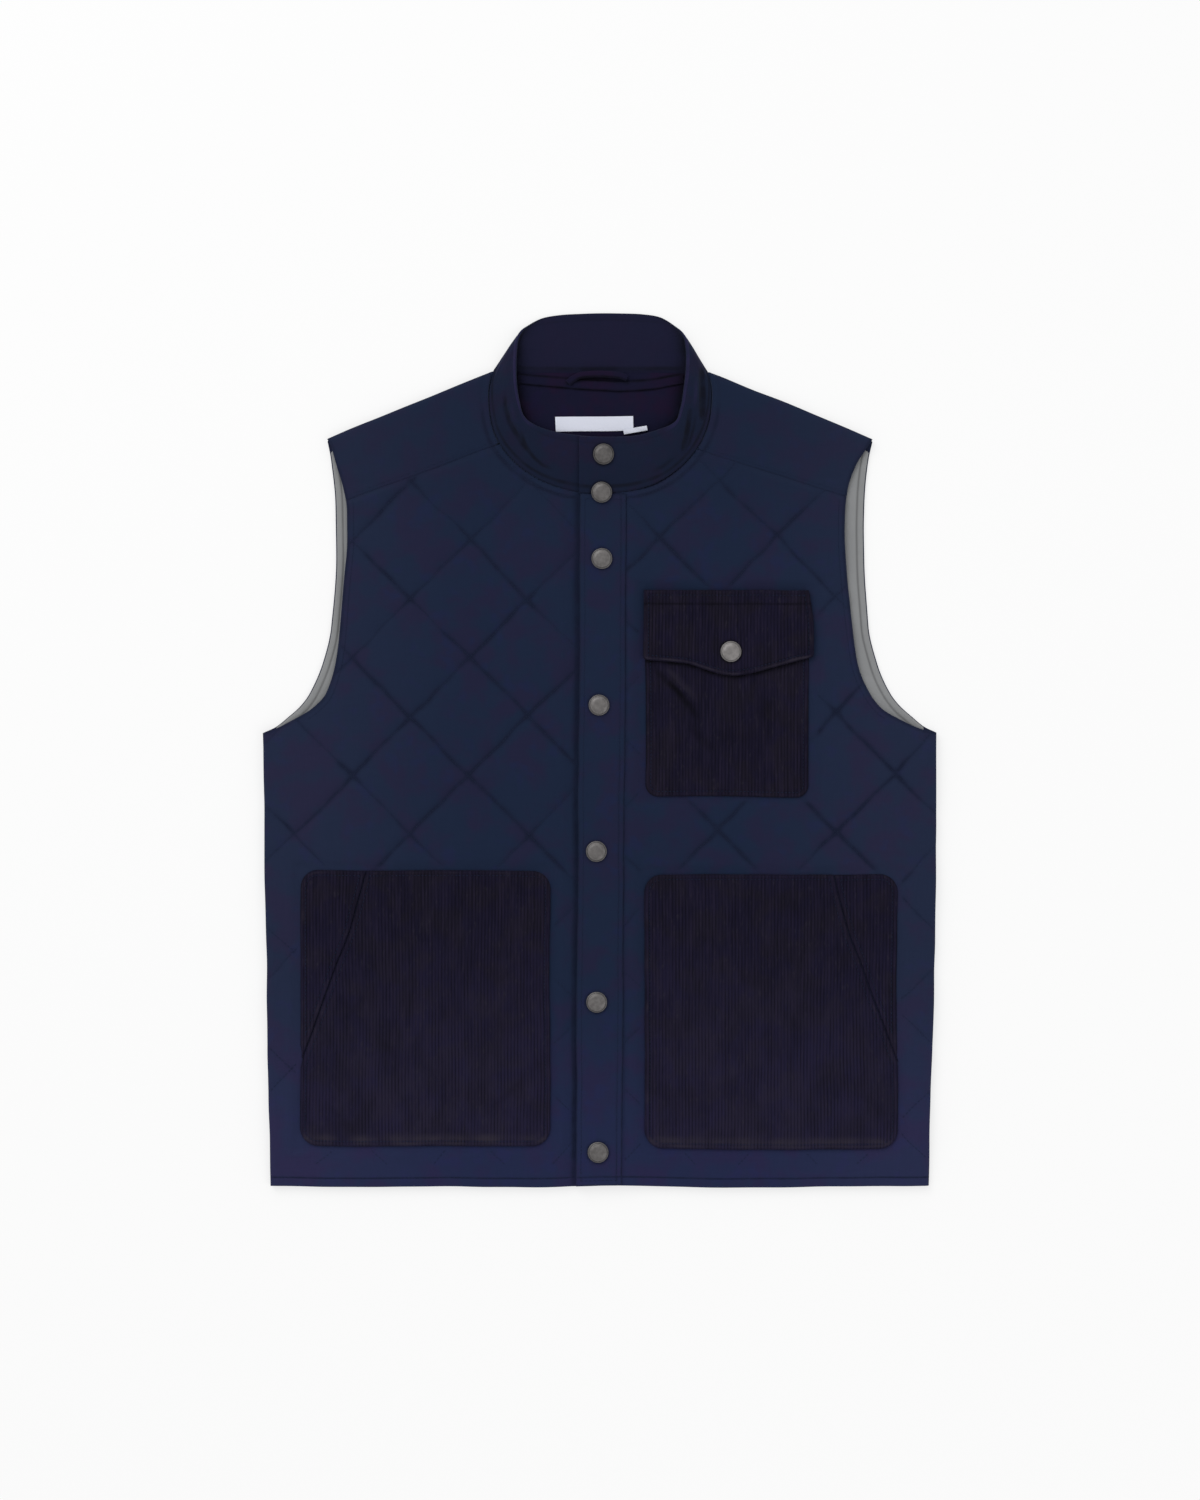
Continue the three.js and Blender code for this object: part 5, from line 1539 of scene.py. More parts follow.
def add_node(tree, kind, inputs=None, **settings):
    """A node with its settings, each of its inputs linked or given a value."""
    made = tree.nodes.new(kind)
    for key, value in settings.items():
        setattr(made, key, value)
    for key, value in (inputs or {}).items():
        value = getattr(value, "socket", value)
        if isinstance(value, bpy.types.NodeSocket):
            tree.links.new(value, made.inputs[key])
        else:
            made.inputs[key].default_value = value
    return made


def surface_chain(points, surface):
    """Points in millimetres that lie just over a surface."""
    points = np.asarray(points, float)
    return np.column_stack([points, surface(points[:, 0], points[:, 1]) + THREAD_LIFT])


def runs(points, inside):
    """The unbroken stretches of a line where inside is true, but for very short ones."""
    found = [[]]
    for point, good in zip(points, inside):
        if good:
            found[-1].append(point)
        elif found[-1]:
            found.append([])
    return [np.array(run) for run in found if len(run) > SHORT_RUN]


def line_samples(start, end):
    count = max(2, round(math.dist(start, end) / GUIDE_STEP))
    share = np.linspace(0, 1, count)[:, None]
    return np.array(start) * (1 - share) + np.array(end) * share


def quilt_chains(side):
    """All quilting lines of a front, cut to where they can be seen."""
    crossing = QUILT_CROSSING[side]
    inside = inside_front(side)
    reach = QUILT_LINE_REACH
    chains = []
    for number in range(-QUILT_LINES, QUILT_LINES + 1):
        for turn in (-1, 1):
            x, y = crossing[0] + number * QUILT_DIAGONAL, crossing[1]
            points = line_samples((x - reach, y - turn * reach), (x + reach, y + turn * reach))
            points = points - np.column_stack(quilt_drift(*points.T))
            seen = runs(points, inside(*points.T))
            chains += [surface_chain(run, partial(front_top, side)) for run in seen]
    return chains


def inside_front(side):
    """Whether points lie on a front where its quilting can be seen."""
    left, right = front_edges(side)

    def inside(x, y):
        within = (y > HEM_Y + 9) & (y < YOKE_SEAM[side]["neck"][1] - 3)
        result = np.zeros(len(x), bool)
        for at in np.flatnonzero(within):
            result[at] = left(y[at]) + 2.5 < x[at] < right(y[at]) - 2.5
        _, pressed = front_pressed(side, x, y)
        return result & (pressed < 0.72)

    return inside


def lines_inside(outline, distance):
    """A line of sewing round the inside of a closed outline that runs clockwise or not."""
    ring = dense(outline)
    area = np.sum(ring[:-1, 0] * ring[1:, 1] - ring[1:, 0] * ring[:-1, 1])
    moved = offset_chain(ring, distance if area > 0 else -distance)
    away = distance_to(outline, moved[:, 0], moved[:, 1])
    return runs(moved, away > distance - 0.25)


def dense(chain):
    """A chain with points added along it, close enough for sewing to follow the surface."""
    pairs = [pair for pair in zip(chain[:-1], chain[1:]) if math.dist(*pair) > 1e-6]
    return np.vstack([*(line_samples(*pair)[:-1] for pair in pairs), chain[-1:]])


def stitch_tree():
    """Geometry nodes that set one stitch after another along a guide line."""
    tree = bpy.data.node_groups.new("stitches_along_guide", "GeometryNodeTree")
    kinds = {"Guide": "Geometry", "Pitch": "Float", "Length": "Float", "Thickness": "Float"}
    ids = {}
    for name, kind in {**kinds, "Thread": "Material"}.items():
        made = tree.interface.new_socket(name, in_out="INPUT", socket_type=f"NodeSocket{kind}")
        ids[name] = made.identifier
    tree.interface.new_socket("Stitches", in_out="OUTPUT", socket_type="NodeSocketGeometry")

    def wired(kind, output, inputs=None, **settings):
        return add_node(tree, kind, inputs, **settings).outputs[output]

    given = add_node(tree, "NodeGroupInput").outputs
    thick = given["Thickness"]
    curve = wired("GeometryNodeMeshToCurve", "Curve", {"Mesh": given["Guide"]})
    spacing = {"Curve": curve, "Length": given["Pitch"]}
    spaced = wired("GeometryNodeResampleCurve", "Curve", spacing, mode="LENGTH")
    ball = wired("GeometryNodeMeshUVSphere", "Mesh", {"Segments": 6, "Rings": 4, "Radius": 0.5})
    scale = wired("ShaderNodeCombineXYZ", "Vector", {"X": given["Length"], "Y": thick, "Z": thick})
    stitch = wired("GeometryNodeTransform", "Geometry", {"Geometry": ball, "Scale": scale})
    tangent = wired("GeometryNodeInputTangent", "Tangent")
    turn = wired("FunctionNodeAlignRotationToVector", "Rotation", {"Vector": tangent}, axis="X")
    placing = {"Points": spaced, "Instance": stitch, "Rotation": turn}
    placed = wired("GeometryNodeInstanceOnPoints", "Instances", placing)
    real = wired("GeometryNodeRealizeInstances", "Geometry", {"Geometry": placed})
    done = wired("GeometryNodeSetMaterial", "Geometry", {"Geometry": real, "Material": given["Thread"]})
    add_node(tree, "NodeGroupOutput", {"Stitches": done})
    return tree, ids


def sew(name, chains, material):
    """One mesh of stitches along guide chains in millimetres."""
    guide_mesh = bpy.data.meshes.new(f"{name}_guide")
    vertices = laid(np.vstack(chains)) * MM
    edges = []
    start = 0
    for chain in chains:
        edges += [(start + k, start + k + 1) for k in range(len(chain) - 1)]
        start += len(chain)
    guide_mesh.from_pydata(vertices.tolist(), edges, [])
    guide = linked(f"{name}_guide", guide_mesh)
    tree, ids = stitch_tree()
    modifier = guide.modifiers.new("stitches", "NODES")
    modifier.node_group = tree
    modifier[ids["Pitch"]] = sizes().stitch_pitch
    modifier[ids["Length"]] = sizes().stitch_pitch * STITCH_SHARE
    modifier[ids["Thickness"]] = sizes().thread
    modifier[ids["Thread"]] = material
    evaluated = guide.evaluated_get(bpy.context.evaluated_depsgraph_get())
    mesh = bpy.data.meshes.new_from_object(evaluated)
    mesh.name = name
    mesh.shade_smooth()
    made = linked(name, mesh)
    bpy.data.objects.remove(guide)
    if not len(mesh.polygons):
        raise RuntimeError(f"{name} has no stitches")
    return made


def front_seams(side):
    """Guide chains for the sewing along a front's hem, yoke seam, armhole and neck seam."""
    sign = SIGN[side]
    seam = YOKE_SEAM[side]
    hem_y = HEM_Y + HEM_STITCH_RISE
    hem = line_samples((sign * HEM_THREAD["start"][side], hem_y), (sign * HEM_THREAD["end"], hem_y))
    yoke = dense(np.array(EDGES[side]["yoke"])) + np.array([0, YOKE_THREAD_RISE])
    arm = dense(offset_chain(EDGES[side]["armhole"], ARM_THREAD["inset"] * sign))
    arm = arm[(arm[:, 1] > ARM_THREAD["start_y"]) & (arm[:, 1] < seam["armhole"][1] - 3)]
    band = dense(NECK_LINES[side])
    band = band[(band[:, 1] < seam["neck"][1] - 8) & (np.abs(band[:, 0]) > 24)]
    front, on_yoke = partial(front_top, side), partial(yoke_top, side)
    lines = ((hem, front), (yoke[3:-3], on_yoke), (arm, front), (band, front))
    return [surface_chain(line, surface) for line, surface in lines]


def patch_seams():
    """Guide chains for the edge sewing of the placket and of every patch."""
    chains = []
    for outline, top in PATCHES.values():
        chains += [surface_chain(line, top) for line in lines_inside(outline, EDGE_STITCH)]
    return chains


# Materials


class Value:
    """A number socket of a finish, which takes part in sums."""

    def __init__(self, shader, socket):
        self.shader = shader
        self.socket = socket

    def math(self, operation, *others, flip=False):
        order = (*others, self) if flip else (self, *others)
        made = self.shader.node("ShaderNodeMath", dict(enumerate(order)), operation=operation)
        return Value(self.shader, made.outputs[0])

    def __add__(self, other):
        return self.math("ADD", other)

    def __sub__(self, other):
        return self.math("SUBTRACT", other)

    def __rsub__(self, other):
        return self.math("SUBTRACT", other, flip=True)

    def __mul__(self, other):
        return self.math("MULTIPLY", other)


class Finish:
    """One material and its nodes."""

    def __init__(self, name):
        self.material = bpy.data.materials.new(name)
        self.material.use_nodes = True
        self.tree = self.material.node_tree
        self.tree.nodes.clear()
        self.place = self.node("ShaderNodeTexCoord").outputs["Object"]

    def node(self, kind, inputs=None, **settings):
        return add_node(self.tree, kind, inputs, **settings)

    def axes(self, place=None):
        parts = self.node("ShaderNodeSeparateXYZ", {"Vector": place or self.place}).outputs
        return [Value(self, parts[key]) for key in ("X", "Y", "Z")]

    def noise(self, size, detail=2.0, stretch=(1, 1, 1), place=None):
        """Noise from 0 to 1 with blots of a size in metres, drawn out along an axis by stretch."""
        scale = tuple(1 / (size * share) for share in stretch)
        mapped = self.node("ShaderNodeMapping", {"Vector": place or self.place, "Scale": scale})
        inputs = {"Vector": mapped.outputs["Vector"], "Scale": 1.0, "Detail": detail}
        made = self.node("ShaderNodeTexNoise", inputs)
        return Value(self, made.outputs["Fac"])

    def attribute(self, name):
        return Value(self, self.node("ShaderNodeAttribute", attribute_name=name).outputs["Fac"])

    def blend(self, share, first, second, kind="MIX"):
        inputs = {0: share, 6: first, 7: second}
        made = self.node("ShaderNodeMix", inputs, data_type="RGBA", blend_type=kind)
        return made.outputs[2]

    def bump(self, height, depth, strength=1.0, below=None):
        inputs = {"Height": height, "Distance": depth, "Strength": strength}
        if below is not None:
            inputs["Normal"] = below
        return self.node("ShaderNodeBump", inputs).outputs["Normal"]

    def close(self, inputs):
        surface = self.node("ShaderNodeBsdfPrincipled", inputs).outputs["BSDF"]
        self.node("ShaderNodeOutputMaterial", {"Surface": surface})
        return self.material


# What the light adds to the cloth's colour at the sides, at the hem and on the lower pockets
SIDE_PAINTED_LIGHT = (0.0045, 0.0035, 0.0062)
HEM_PAINTED_LIGHT = (0.0055, 0.0036, 0.0185)
CORD_PAINTED_LIGHT = (0.0062, 0.0055, 0.0142)
# Colours of painted highlight on the navy, of wear and painted highlight on the corduroy, and of the
# corduroy's flecks
NAVY_PAINTED_HIGHLIGHT = (0.0135, 0.0105, 0.043)
CORD_WEAR_AND_HIGHLIGHT = (0.024, 0.0203, 0.031)
CORD_FLECKS = (0.019, 0.0165, 0.026)


def tinted(colour, red, green, blue):
    return (colour[0] * red, colour[1] * green, colour[2] * blue, 1.0)


def opaque(colour, share=1.0):
    return tinted(colour, share, share, share)


def weave_height(finish, pitch):
    """Over and under of a plain weave: threads both ways at a pitch in metres."""
    x, y, _ = finish.axes()
    rate = 2 * math.pi / pitch
    across = (x * rate).math("SINE")
    along = (y * rate).math("SINE")
    return across * along


def ramp(finish, value, low, high):
    """A value spread from 0 at low to 1 at high, and held beyond."""
    inputs = {"Value": value, "From Min": low, "From Max": high}
    spread_out = finish.node("ShaderNodeMapRange", inputs, interpolation_type="SMOOTHSTEP")
    return Value(finish, spread_out.outputs["Result"])


def sewing_shade_wear_and_highlight(finish, colour, dark, weight, pale):
    """Darkens the sewn lines and paints shade and shadow, unevenly along them; where the mark is below 0 it
    pales the cloth with painted highlight, and on corduroy with wear as well.
    """
    mark = finish.attribute("seam")
    broken = ramp(finish, finish.noise(0.011, 3.0), 0.3, 0.62) * 0.5 + 0.55
    colour = finish.blend(ramp(finish, mark, 0.0, 1.0) * broken * weight, colour, dark)
    return finish.blend(ramp(finish, mark, 0.0, -1.0) * broken * 0.8, colour, opaque(pale))


def navy_cloth(name="navy_cloth", base=None, bloom=1.0, painted_light=1.0, inner=0.0, deep=0.42):
    """Tightly woven navy cloth, redder in blots, with painted light and shade: darker towards the
    top, and paler and bluer towards the sides and hem. Inner is how far an inner face takes the
    colour of the inside of the neck, and deep is what share of its colour the cloth keeps in a
    sewn line or a painted shade."""
    finish = Finish(name)
    base = base or colours().navy
    x, y, _ = finish.axes()
    warm, cool = tinted(base, 1.7, 0.8, 0.97), tinted(base, 0.92, 1.06, 1.03)
    blots = finish.noise(0.026, 4.0)
    colour = finish.blend(ramp(finish, blots, 0.42, 0.64), cool, warm)
    bluer = ramp(finish, finish.noise(0.015, 3.0), 0.56, 0.7) * 0.7
    colour = finish.blend(bluer, colour, tinted(base, 1.15, 0.95, 1.25))
    # Painted shade: darker towards the top.
    colour = finish.blend(ramp(finish, y, 0.16, 0.26) * 0.3 * painted_light, colour, opaque(base, 0.7))
    # Painted light: paler at the sides, and paler and bluer towards the hem.
    at_sides = ramp(finish, x.math("ABSOLUTE"), 0.1, 0.275)
    colour = finish.blend(at_sides * painted_light, colour, opaque(SIDE_PAINTED_LIGHT), "ADD")
    colour = finish.blend(ramp(finish, y, -0.17, -0.37) * painted_light, colour, opaque(HEM_PAINTED_LIGHT), "ADD")
    if inner:
        colour = finish.blend(finish.attribute("inner") * inner, colour, opaque(colours().inside, 1.25))
    streaks = finish.noise(0.0012, 2.0, (1, 14, 1)) * 0.5 + finish.noise(0.0012, 2.0, (14, 1, 1)) * 0.5
    colour = finish.blend(streaks * 0.3, colour, opaque(base, 0.62))
    dark = tinted(base, deep, deep, deep * 1.3)
    colour = sewing_shade_wear_and_highlight(finish, colour, dark, 0.85, NAVY_PAINTED_HIGHLIGHT)
    fine = finish.bump(weave_height(finish, 0.0006), 0.00004, 0.6)
    crumple = finish.noise(0.009, 3.0) + finish.noise(0.028, 2.0) * 1.6
    normal = finish.bump(crumple, 0.0003, 0.5, below=fine)
    return finish.close({
        "Base Color": colour,
        "Roughness": streaks * 0.12 + 0.76,
        "Specular IOR Level": 0.12 * bloom,
        "Sheen Weight": 0.08 * bloom,
        "Sheen Roughness": 0.55,
        "Sheen Tint": (0.6, 0.7, 1.0, 1.0),
        "Normal": normal,
    })


def collar_cloth():
    """The same cloth as a copy with painted shade, darker on the stand collar."""
    navy, inside = colours().navy, colours().inside
    base = tuple(mix(a, b, 0.3) * 0.8 for a, b in zip(navy, inside))
    return navy_cloth("collar_cloth", base, 0.85, 0.0, inner=0.8, deep=0.22)


def inside_cloth():
    """The darker, redder navy inside the neck."""
    return navy_cloth("inside_cloth", tuple(colours().inside), 0.6, 0.0, deep=0.12)


def corduroy_cloth():
    """Ribbed pile with painted shade in its grooves, its nap brushed both ways, and painted light that makes
    the lower pockets paler.
    """
    finish = Finish("corduroy_cloth")
    base = colours().corduroy
    _, y, _ = finish.axes()
    across = finish.attribute("across")
    rib = (across * (math.pi / sizes().wale_pitch)).math("SINE").math("ABSOLUTE")
    nap = finish.noise(0.022, 5.0, (0.8, 1.4, 1))
    hue = finish.noise(0.018, 3.0)
    brushed = finish.noise(0.0024, 3.0, (0.8, 12, 1))
    flecks = finish.noise(0.0024, 3.0, (1, 2.5, 1))
    bluer, browner = tinted(base, 1.02, 0.95, 1.12), tinted(base, 1.28, 1.18, 0.92)
    colour = finish.blend(ramp(finish, hue, 0.4, 0.62), bluer, browner)
    # Painted light: paler towards the lower pockets.
    colour = finish.blend(ramp(finish, y, -0.1, -0.33), colour, opaque(CORD_PAINTED_LIGHT), "ADD")
    colour = finish.blend(ramp(finish, nap, 0.6, 0.34) * 0.3, colour, opaque(base, 0.45))
    colour = finish.blend(ramp(finish, brushed, 0.42, 0.7) * 0.5, colour, tinted(base, 2.3, 2.05, 1.75))
    colour = finish.blend(ramp(finish, flecks, 0.58, 0.74) * 0.5, colour, opaque(CORD_FLECKS))
    # Painted shade in the grooves between the ribs.
    grooves = (1 - rib) * (ramp(finish, finish.noise(0.006, 2.0, (1, 5, 1)), 0.3, 0.7) * 0.6 + 0.12)
    colour = finish.blend(grooves, colour, opaque(base, 0.35))
    colour = sewing_shade_wear_and_highlight(finish, colour, opaque(base, 0.2), 0.95, CORD_WEAR_AND_HIGHLIGHT)
    fuzz = finish.noise(0.0006, 2.0) + finish.noise(0.0022, 2.0, (1, 3, 1))
    normal = finish.bump(fuzz, 0.00018, 0.6)
    return finish.close({
        "Base Color": colour,
        "Roughness": brushed * 0.1 + 0.86,
        "Specular IOR Level": 0.08,
        "Sheen Weight": 0.08,
        "Sheen Roughness": 0.4,
        "Sheen Tint": (0.75, 0.65, 1.0, 1.0),
        "Normal": normal,
    })


def lining_cloth():
    """Plain grey cloth with a slight slub."""
    finish = Finish("lining_cloth")
    base = colours().lining
    cloud = finish.noise(0.02, 3.0)
    colour = finish.blend(cloud * 0.4, opaque(base), opaque(base, 0.72))
    colour = finish.blend(finish.attribute("seam") * 0.75, colour, opaque(base, 0.35))
    slub = finish.noise(0.0008, 2.0, (12, 1, 1))
    normal = finish.bump(weave_height(finish, 0.0005) * 0.5 + slub, 0.00006, 0.7)
    return finish.close({
        "Base Color": colour,
        "Roughness": cloud * 0.1 + 0.66,
        "Specular IOR Level": 0.3,
        "Sheen Weight": 0.1,
        "Normal": normal,
    })


def label_tape():
    """White woven tape, with a fine diagonal rib."""
    finish = Finish("label_tape")
    base = colours().label
    cloud = finish.noise(0.006, 2.0)
    colour = finish.blend(cloud * 0.25, opaque(base), opaque(base, 0.86))
    x, y, _ = finish.axes()
    twill = ((x + y) * (2 * math.pi / 0.0007)).math("SINE")
    normal = finish.bump(twill, 0.00005, 0.5)
    return finish.close({
        "Base Color": colour, "Roughness": cloud * 0.1 + 0.5, "Specular IOR Level": 0.35, "Normal": normal
    })


def snap_metal():
    """Gunmetal with round brushing and a paler rim."""
    finish = Finish("snap_metal")
    base = colours().metal
    centre = finish.node("ShaderNodeAttribute", attribute_name="centre").outputs["Vector"]
    x, y, _ = finish.axes(centre)
    radius = (x * x + y * y).math("SQRT")
    outwards = finish.node("ShaderNodeCombineXYZ", {"X": radius, "Y": 0.0, "Z": 0.0}).outputs["Vector"]
    rings = finish.noise(0.00035, 2.0, place=outwards)
    tarnish = finish.noise(0.0032, 5.0)
    tone = finish.attribute("tone")
    rim = ramp(finish, radius, 0.0068, 0.0084)
    colour = finish.blend(ramp(finish, tarnish, 0.3, 0.7), opaque(base, 1.1), opaque(base, 0.82))
    colour = finish.blend(rim * 0.7, colour, opaque(base, 1.35))
    colour = finish.blend(tone, opaque((0, 0, 0)), colour)
    normal = finish.bump(rings + tarnish * 0.6, 0.00005, 0.5)
    return finish.close({
        "Base Color": colour, "Metallic": 1.0, "Roughness": rings * 0.14 + 0.45, "Normal": normal
    })


def thread_finish():
    """Twisted sewing thread in the colour of the shell."""
    finish = Finish("navy_thread")
    base = colours().navy
    twist = finish.noise(0.0008, 2.0)
    colour = finish.blend(twist * 0.6, opaque(base, 1.1), opaque(base, 0.7))
    return finish.close({
        "Base Color": colour, "Roughness": twist * 0.15 + 0.6, "Specular IOR Level": 0.15
    })


def floor_finish():
    """A pale floor lit from below, as a light table is, so that only faint shadows fall on it."""
    finish = Finish("pale_floor")
    grain = finish.noise(0.4, 2.0)
    colour = finish.blend(grain * 0.04, (0.275, 0.275, 0.275, 1), (0.265, 0.265, 0.265, 1))
    return finish.close({
        "Base Color": colour,
        "Roughness": grain * 0.02 + 0.9,
        "Specular IOR Level": 0.0,
        "Emission Color": (1, 1, 1, 1),
        "Emission Strength": 0.667,
    })


MAKERS = {
    "navy": navy_cloth,
    "collar": collar_cloth,
    "inside": inside_cloth,
    "corduroy": corduroy_cloth,
    "lining": lining_cloth,
    "label": label_tape,
    "metal": snap_metal,
    "thread": thread_finish,
    "floor": floor_finish,
}
MADE = {}


def finish_of(key):
    """A finish, made when it is first asked for."""
    if key not in MADE:
        MADE[key] = MAKERS[key]()
    return MADE[key]


# Joining pieces to the frame


def settle(made, key, *nodes):
    """Gives a piece its material and its body, and hides the nodes that it stands for."""
    made.data.materials.clear()
    made.data.materials.append(finish_of(key))
    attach(made, "root")
    if nodes:
        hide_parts(*nodes)
    return made


def half_surface(made):
    areas = np.zeros(len(made.data.polygons))
    made.data.polygons.foreach_get("area", areas)
    return float(areas.sum() / 2)


def plan_size(made):
    places = np.zeros(len(made.data.vertices) * 3)
    made.data.vertices.foreach_get("co", places)
    low, high = places.reshape(-1, 3).min(0), places.reshape(-1, 3).max(0)
    return high[0] - low[0], high[1] - low[1]


def lay_sheet(made, rests_on, flat=None):
    """Works out a cut cloth piece's plan size, or takes a given one, and its own area, but declares nothing
    with them.
    """
    width, length = (max(float(side), 0.01) for side in (flat or plan_size(made)))
    area = min(half_surface(made), width * length)
    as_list(rests_on)


class VestOperator:
    """What all of the vest's operators share."""

    bl_options = {"REGISTER", "UNDO"}

    def execute(self, context):
        self.build()
        return {"FINISHED"}


def add_floor():
    bpy.ops.mesh.primitive_plane_add(size=FLOOR["size"], location=(0, 0, -FLOOR["below"]))
    floor = bpy.context.object
    floor.name = "pale_floor"
    floor.data.materials.append(finish_of("floor"))
    floor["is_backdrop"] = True


def add_lights(scene):
    """An even white room, with one soft lamp above the wearer's right shoulder and a weak one opposite."""
    world = bpy.data.worlds.new("soft_room")
    world.use_nodes = True
    background = world.node_tree.nodes["Background"].inputs
    background["Color"].default_value = (1, 1, 1, 1)
    background["Strength"].default_value = ROOM_LIGHT
    scene.world = world
    for name, place, size, power in LAMPS:
        light = bpy.data.lights.new(name, "AREA")
        light.shape = "SQUARE"
        light.size = size
        light.energy = power
        lamp = linked(name, light)
        lamp.location = place
        lamp.rotation_euler = (-lamp.location).to_track_quat("-Z", "Y").to_euler()


def add_camera(scene):
    view = bpy.data.cameras.new("view_from_above")
    view.lens = LENS
    view.sensor_width = SENSOR
    view.clip_end = 50
    camera = linked("view_from_above", view)
    distance = PIXEL * MM * FRAME_HEIGHT_PIXELS * LENS / SENSOR
    camera.location = (0, 0.5 * PIXEL * MM, distance + FRONT_HEIGHT)
    scene.camera = camera


class VEST_OT_stage(VestOperator, bpy.types.Operator):
    """Makes the floor, the soft light and the camera straight above"""

    bl_idname = "vest.stage"
    bl_label = "Stage"

    def build(self):
        scene = bpy.context.scene
        scene.view_settings.view_transform = "Standard"
        scene.view_settings.look = "None"
        add_floor()
        add_lights(scene)
        add_camera(scene)


class VEST_OT_back(VestOperator, bpy.types.Operator):
    """Makes the back of the shell and its grey lining"""

    bl_idname = "vest.back"
    bl_label = "Back and lining"

    def build(self):
        back = settle(build_back(), "navy", "back")
        lay_sheet(back, "pale_floor")
        lining = settle(build_lining(), "lining", "back_lining")
        lay_sheet(lining, back.name)


class VEST_OT_neck(VestOperator, bpy.types.Operator):
    """Makes what shows inside the back neck: facing, tape, loop, label and tab"""

    bl_idname = "vest.neck"
    bl_label = "Inside of the neck"

    def build(self):
        facing = settle(build_facing(), "inside", "back_neck_facing")
        lay_sheet(facing, "grey_lining")
        tape = settle(build_neck_tape(), "inside", "neck_tape")
        lay_sheet(tape, facing.name)
        loop = settle(build_loop(), "inside", "hanger_loop")
        lay_sheet(loop, tape.name, flat=(0.056, 0.01))
        label = settle(build_label("bare_neck_label", NECK_LABEL, LABEL_SLOPE, 0.2), "label", "neck_label")
        lay_sheet(label, facing.name)
        tab = settle(build_label("bare_size_tab", SIZE_TAB, TAB_SLOPE, 0.15), "label", "size_tab")
        lay_sheet(tab, label.name)


class VEST_OT_fronts(VestOperator, bpy.types.Operator):
    """Makes the two quilted fronts and the plain yokes above them"""

    bl_idname = "vest.fronts"
    bl_label = "Fronts and yokes"

    def build(self):
        for side in SIGN:
            front = settle(build_front(side), "navy", f"front_{side}")
            lay_sheet(front, "grey_lining")
            yoke = settle(build_yoke(side), "navy", f"yoke_{side}")
            lay_sheet(yoke, "shell_back")


class VEST_OT_placket(VestOperator, bpy.types.Operator):
    """Makes the band down the edge of the left front"""

    bl_idname = "vest.placket"
    bl_label = "Placket"

    def build(self):
        placket = settle(build_placket(), "navy", "placket")
        lay_sheet(placket, "quilted_front_left")


class VEST_OT_collar(VestOperator, bpy.types.Operator):
    """Makes the stand collar"""

    bl_idname = "vest.collar"
    bl_label = "Collar"

    def build(self):
        collar = settle(build_collar(), "collar", "collar")
        flat = (collar["cut_length"], collar["cut_width"])
        del collar["cut_length"], collar["cut_width"]
        lay_sheet(collar, ["shell_back", "quilted_front_right"], flat=flat)


class VEST_OT_pockets(VestOperator, bpy.types.Operator):
    """Makes the corduroy pockets, the chest flap and the corners behind the hand entries"""

    bl_idname = "vest.pockets"
    bl_label = "Pockets"

    def build(self):
        for side in SIGN:
            pocket, corner = build_lower_pocket(side)
            settle(pocket, "corduroy", f"lower_pocket_{side}")
            settle(corner, "corduroy", f"pocket_corner_{side}")
            lay_sheet(pocket, f"quilted_front_{side}")
            lay_sheet(corner, f"quilted_front_{side}")
        chest = settle(build_chest_pocket(), "corduroy", "chest_pocket")
        lay_sheet(chest, "quilted_front_left")
        flap = settle(build_chest_flap(), "corduroy", "chest_flap")
        lay_sheet(flap, chest.name)


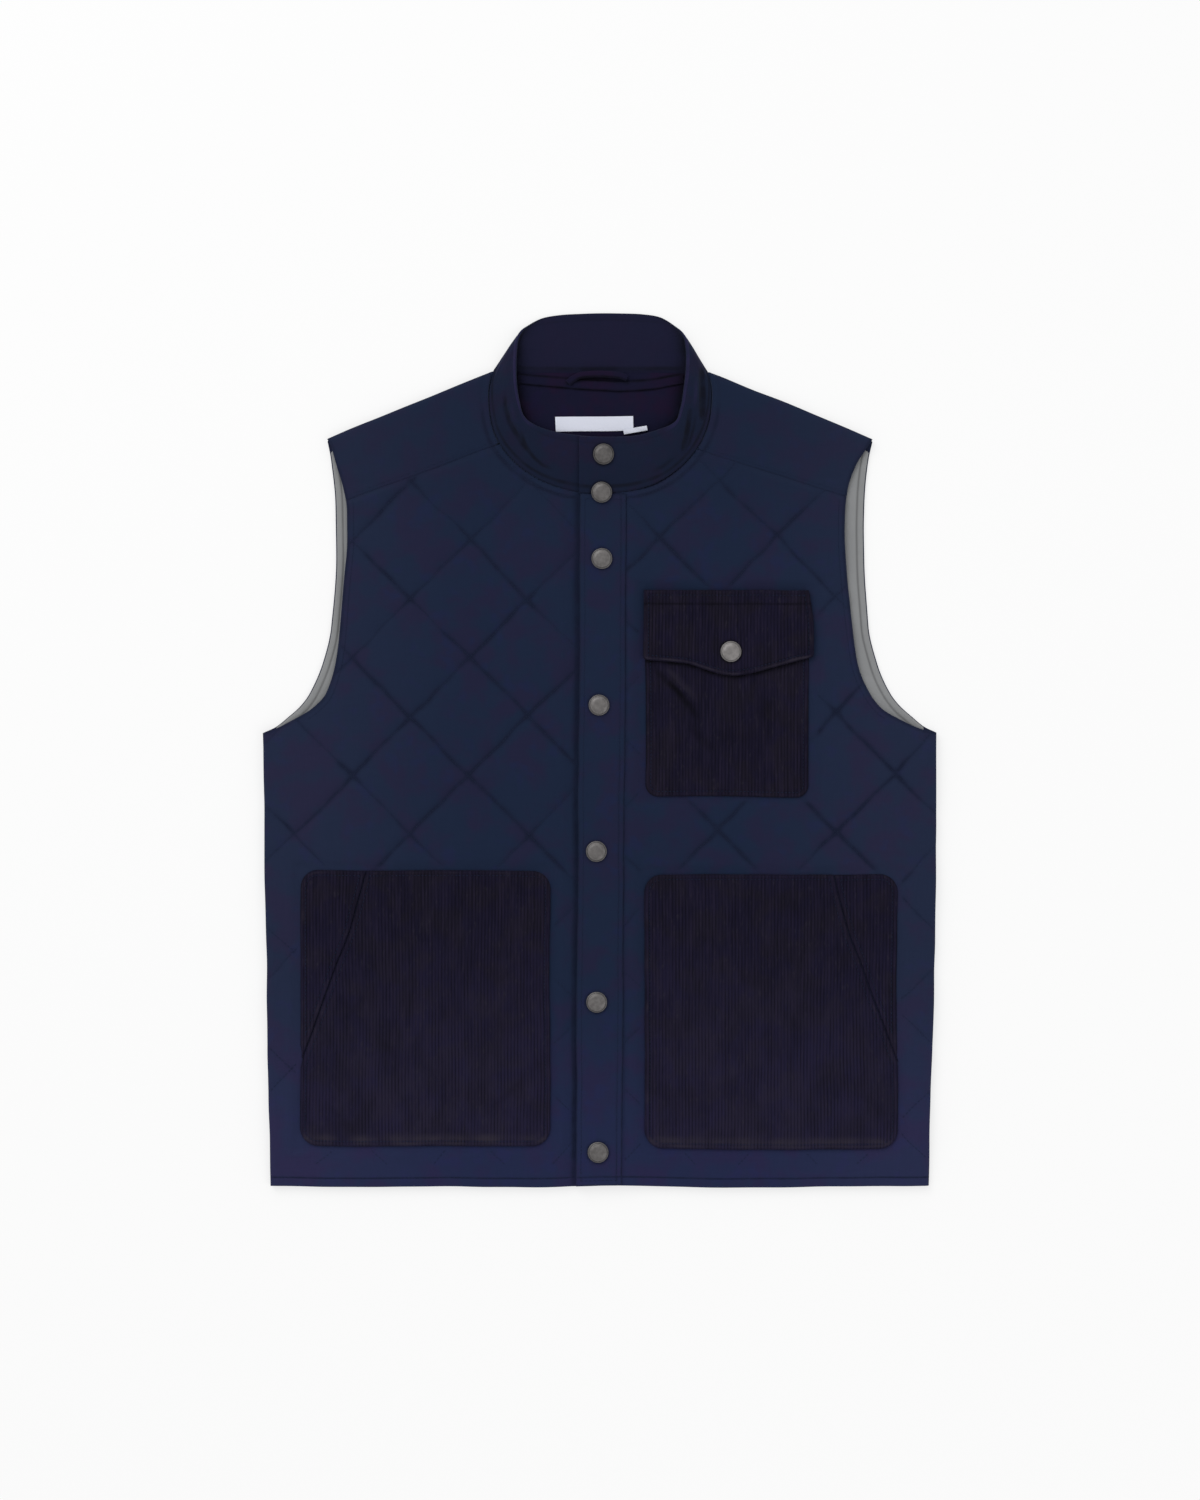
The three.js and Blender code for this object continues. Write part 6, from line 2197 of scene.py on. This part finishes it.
class VEST_OT_snaps(VestOperator, bpy.types.Operator):
    """Makes the eight snap caps"""

    bl_idname = "vest.snaps"
    bl_label = "Snaps"

    def build(self):
        spots = list(COLLAR_SNAPS)
        for x, y in PLACKET_SNAPS:
            spots.append((x, y, float(front_top("left", x, y)) + 2 * GAP + PLACKET["thickness"], 0))
        x, y = CHEST_SNAP
        spots.append((x, y, float(front_top("left", x, y)) + FLAP_LIFT + CHEST_FLAP["thickness"] + GAP, 0))
        names = [*range(1, len(spots)), "chest"]
        for name, spot, tone in zip(names, spots, SNAP_TONES):
            settle(turned(f"snap_cap_{name}", snap_profile(), *spot, tone), "metal", f"snap_{name}")


class VEST_OT_stitches(VestOperator, bpy.types.Operator):
    """Sews the quilting, the seams, the hem and the pockets"""

    bl_idname = "vest.stitches"
    bl_label = "Stitching"

    def build(self):
        thread = finish_of("thread")
        for side in SIGN:
            settle(sew(f"quilting_thread_{side}", quilt_chains(side), thread), "thread")
        chains = [*front_seams("right"), *front_seams("left"), *patch_seams()]
        settle(sew("seam_thread", chains, thread), "thread")


class VEST_PT_panel(bpy.types.Panel):
    """Lists the vest's pieces and its sizes"""

    bl_label = "Quilted vest"
    bl_idname = "VEST_PT_panel"
    bl_space_type = "VIEW_3D"
    bl_region_type = "UI"
    bl_category = "Vest"

    def draw(self, context):
        for group in (context.scene.vest_sizes, context.scene.vest_colours):
            for key in group.bl_rna.properties.keys():
                if key not in ("rna_type", "name"):
                    self.layout.prop(group, key)
        for operator in OPERATORS:
            self.layout.operator(operator.bl_idname)


OPERATORS = (
    VEST_OT_stage,
    VEST_OT_back,
    VEST_OT_neck,
    VEST_OT_fronts,
    VEST_OT_placket,
    VEST_OT_collar,
    VEST_OT_pockets,
    VEST_OT_snaps,
    VEST_OT_stitches,
)
CLASSES = (VestSizes, VestColours, *OPERATORS, VEST_PT_panel)


def register():
    for item in CLASSES:
        bpy.utils.register_class(item)
    bpy.types.Scene.vest_sizes = PointerProperty(type=VestSizes)
    bpy.types.Scene.vest_colours = PointerProperty(type=VestColours)


def unregister():
    del bpy.types.Scene.vest_colours
    del bpy.types.Scene.vest_sizes
    for item in reversed(CLASSES):
        bpy.utils.unregister_class(item)


def main():
    register()
    for operator in OPERATORS:
        group, name = operator.bl_idname.split(".")
        getattr(getattr(bpy.ops, group), name)()
    boxes = {"cad": FRAME_BOX, "visual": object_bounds()}
    plain = {key: [list(corner) for corner in box] for key, box in boxes.items()}


if __name__ == "__main__":
    main()
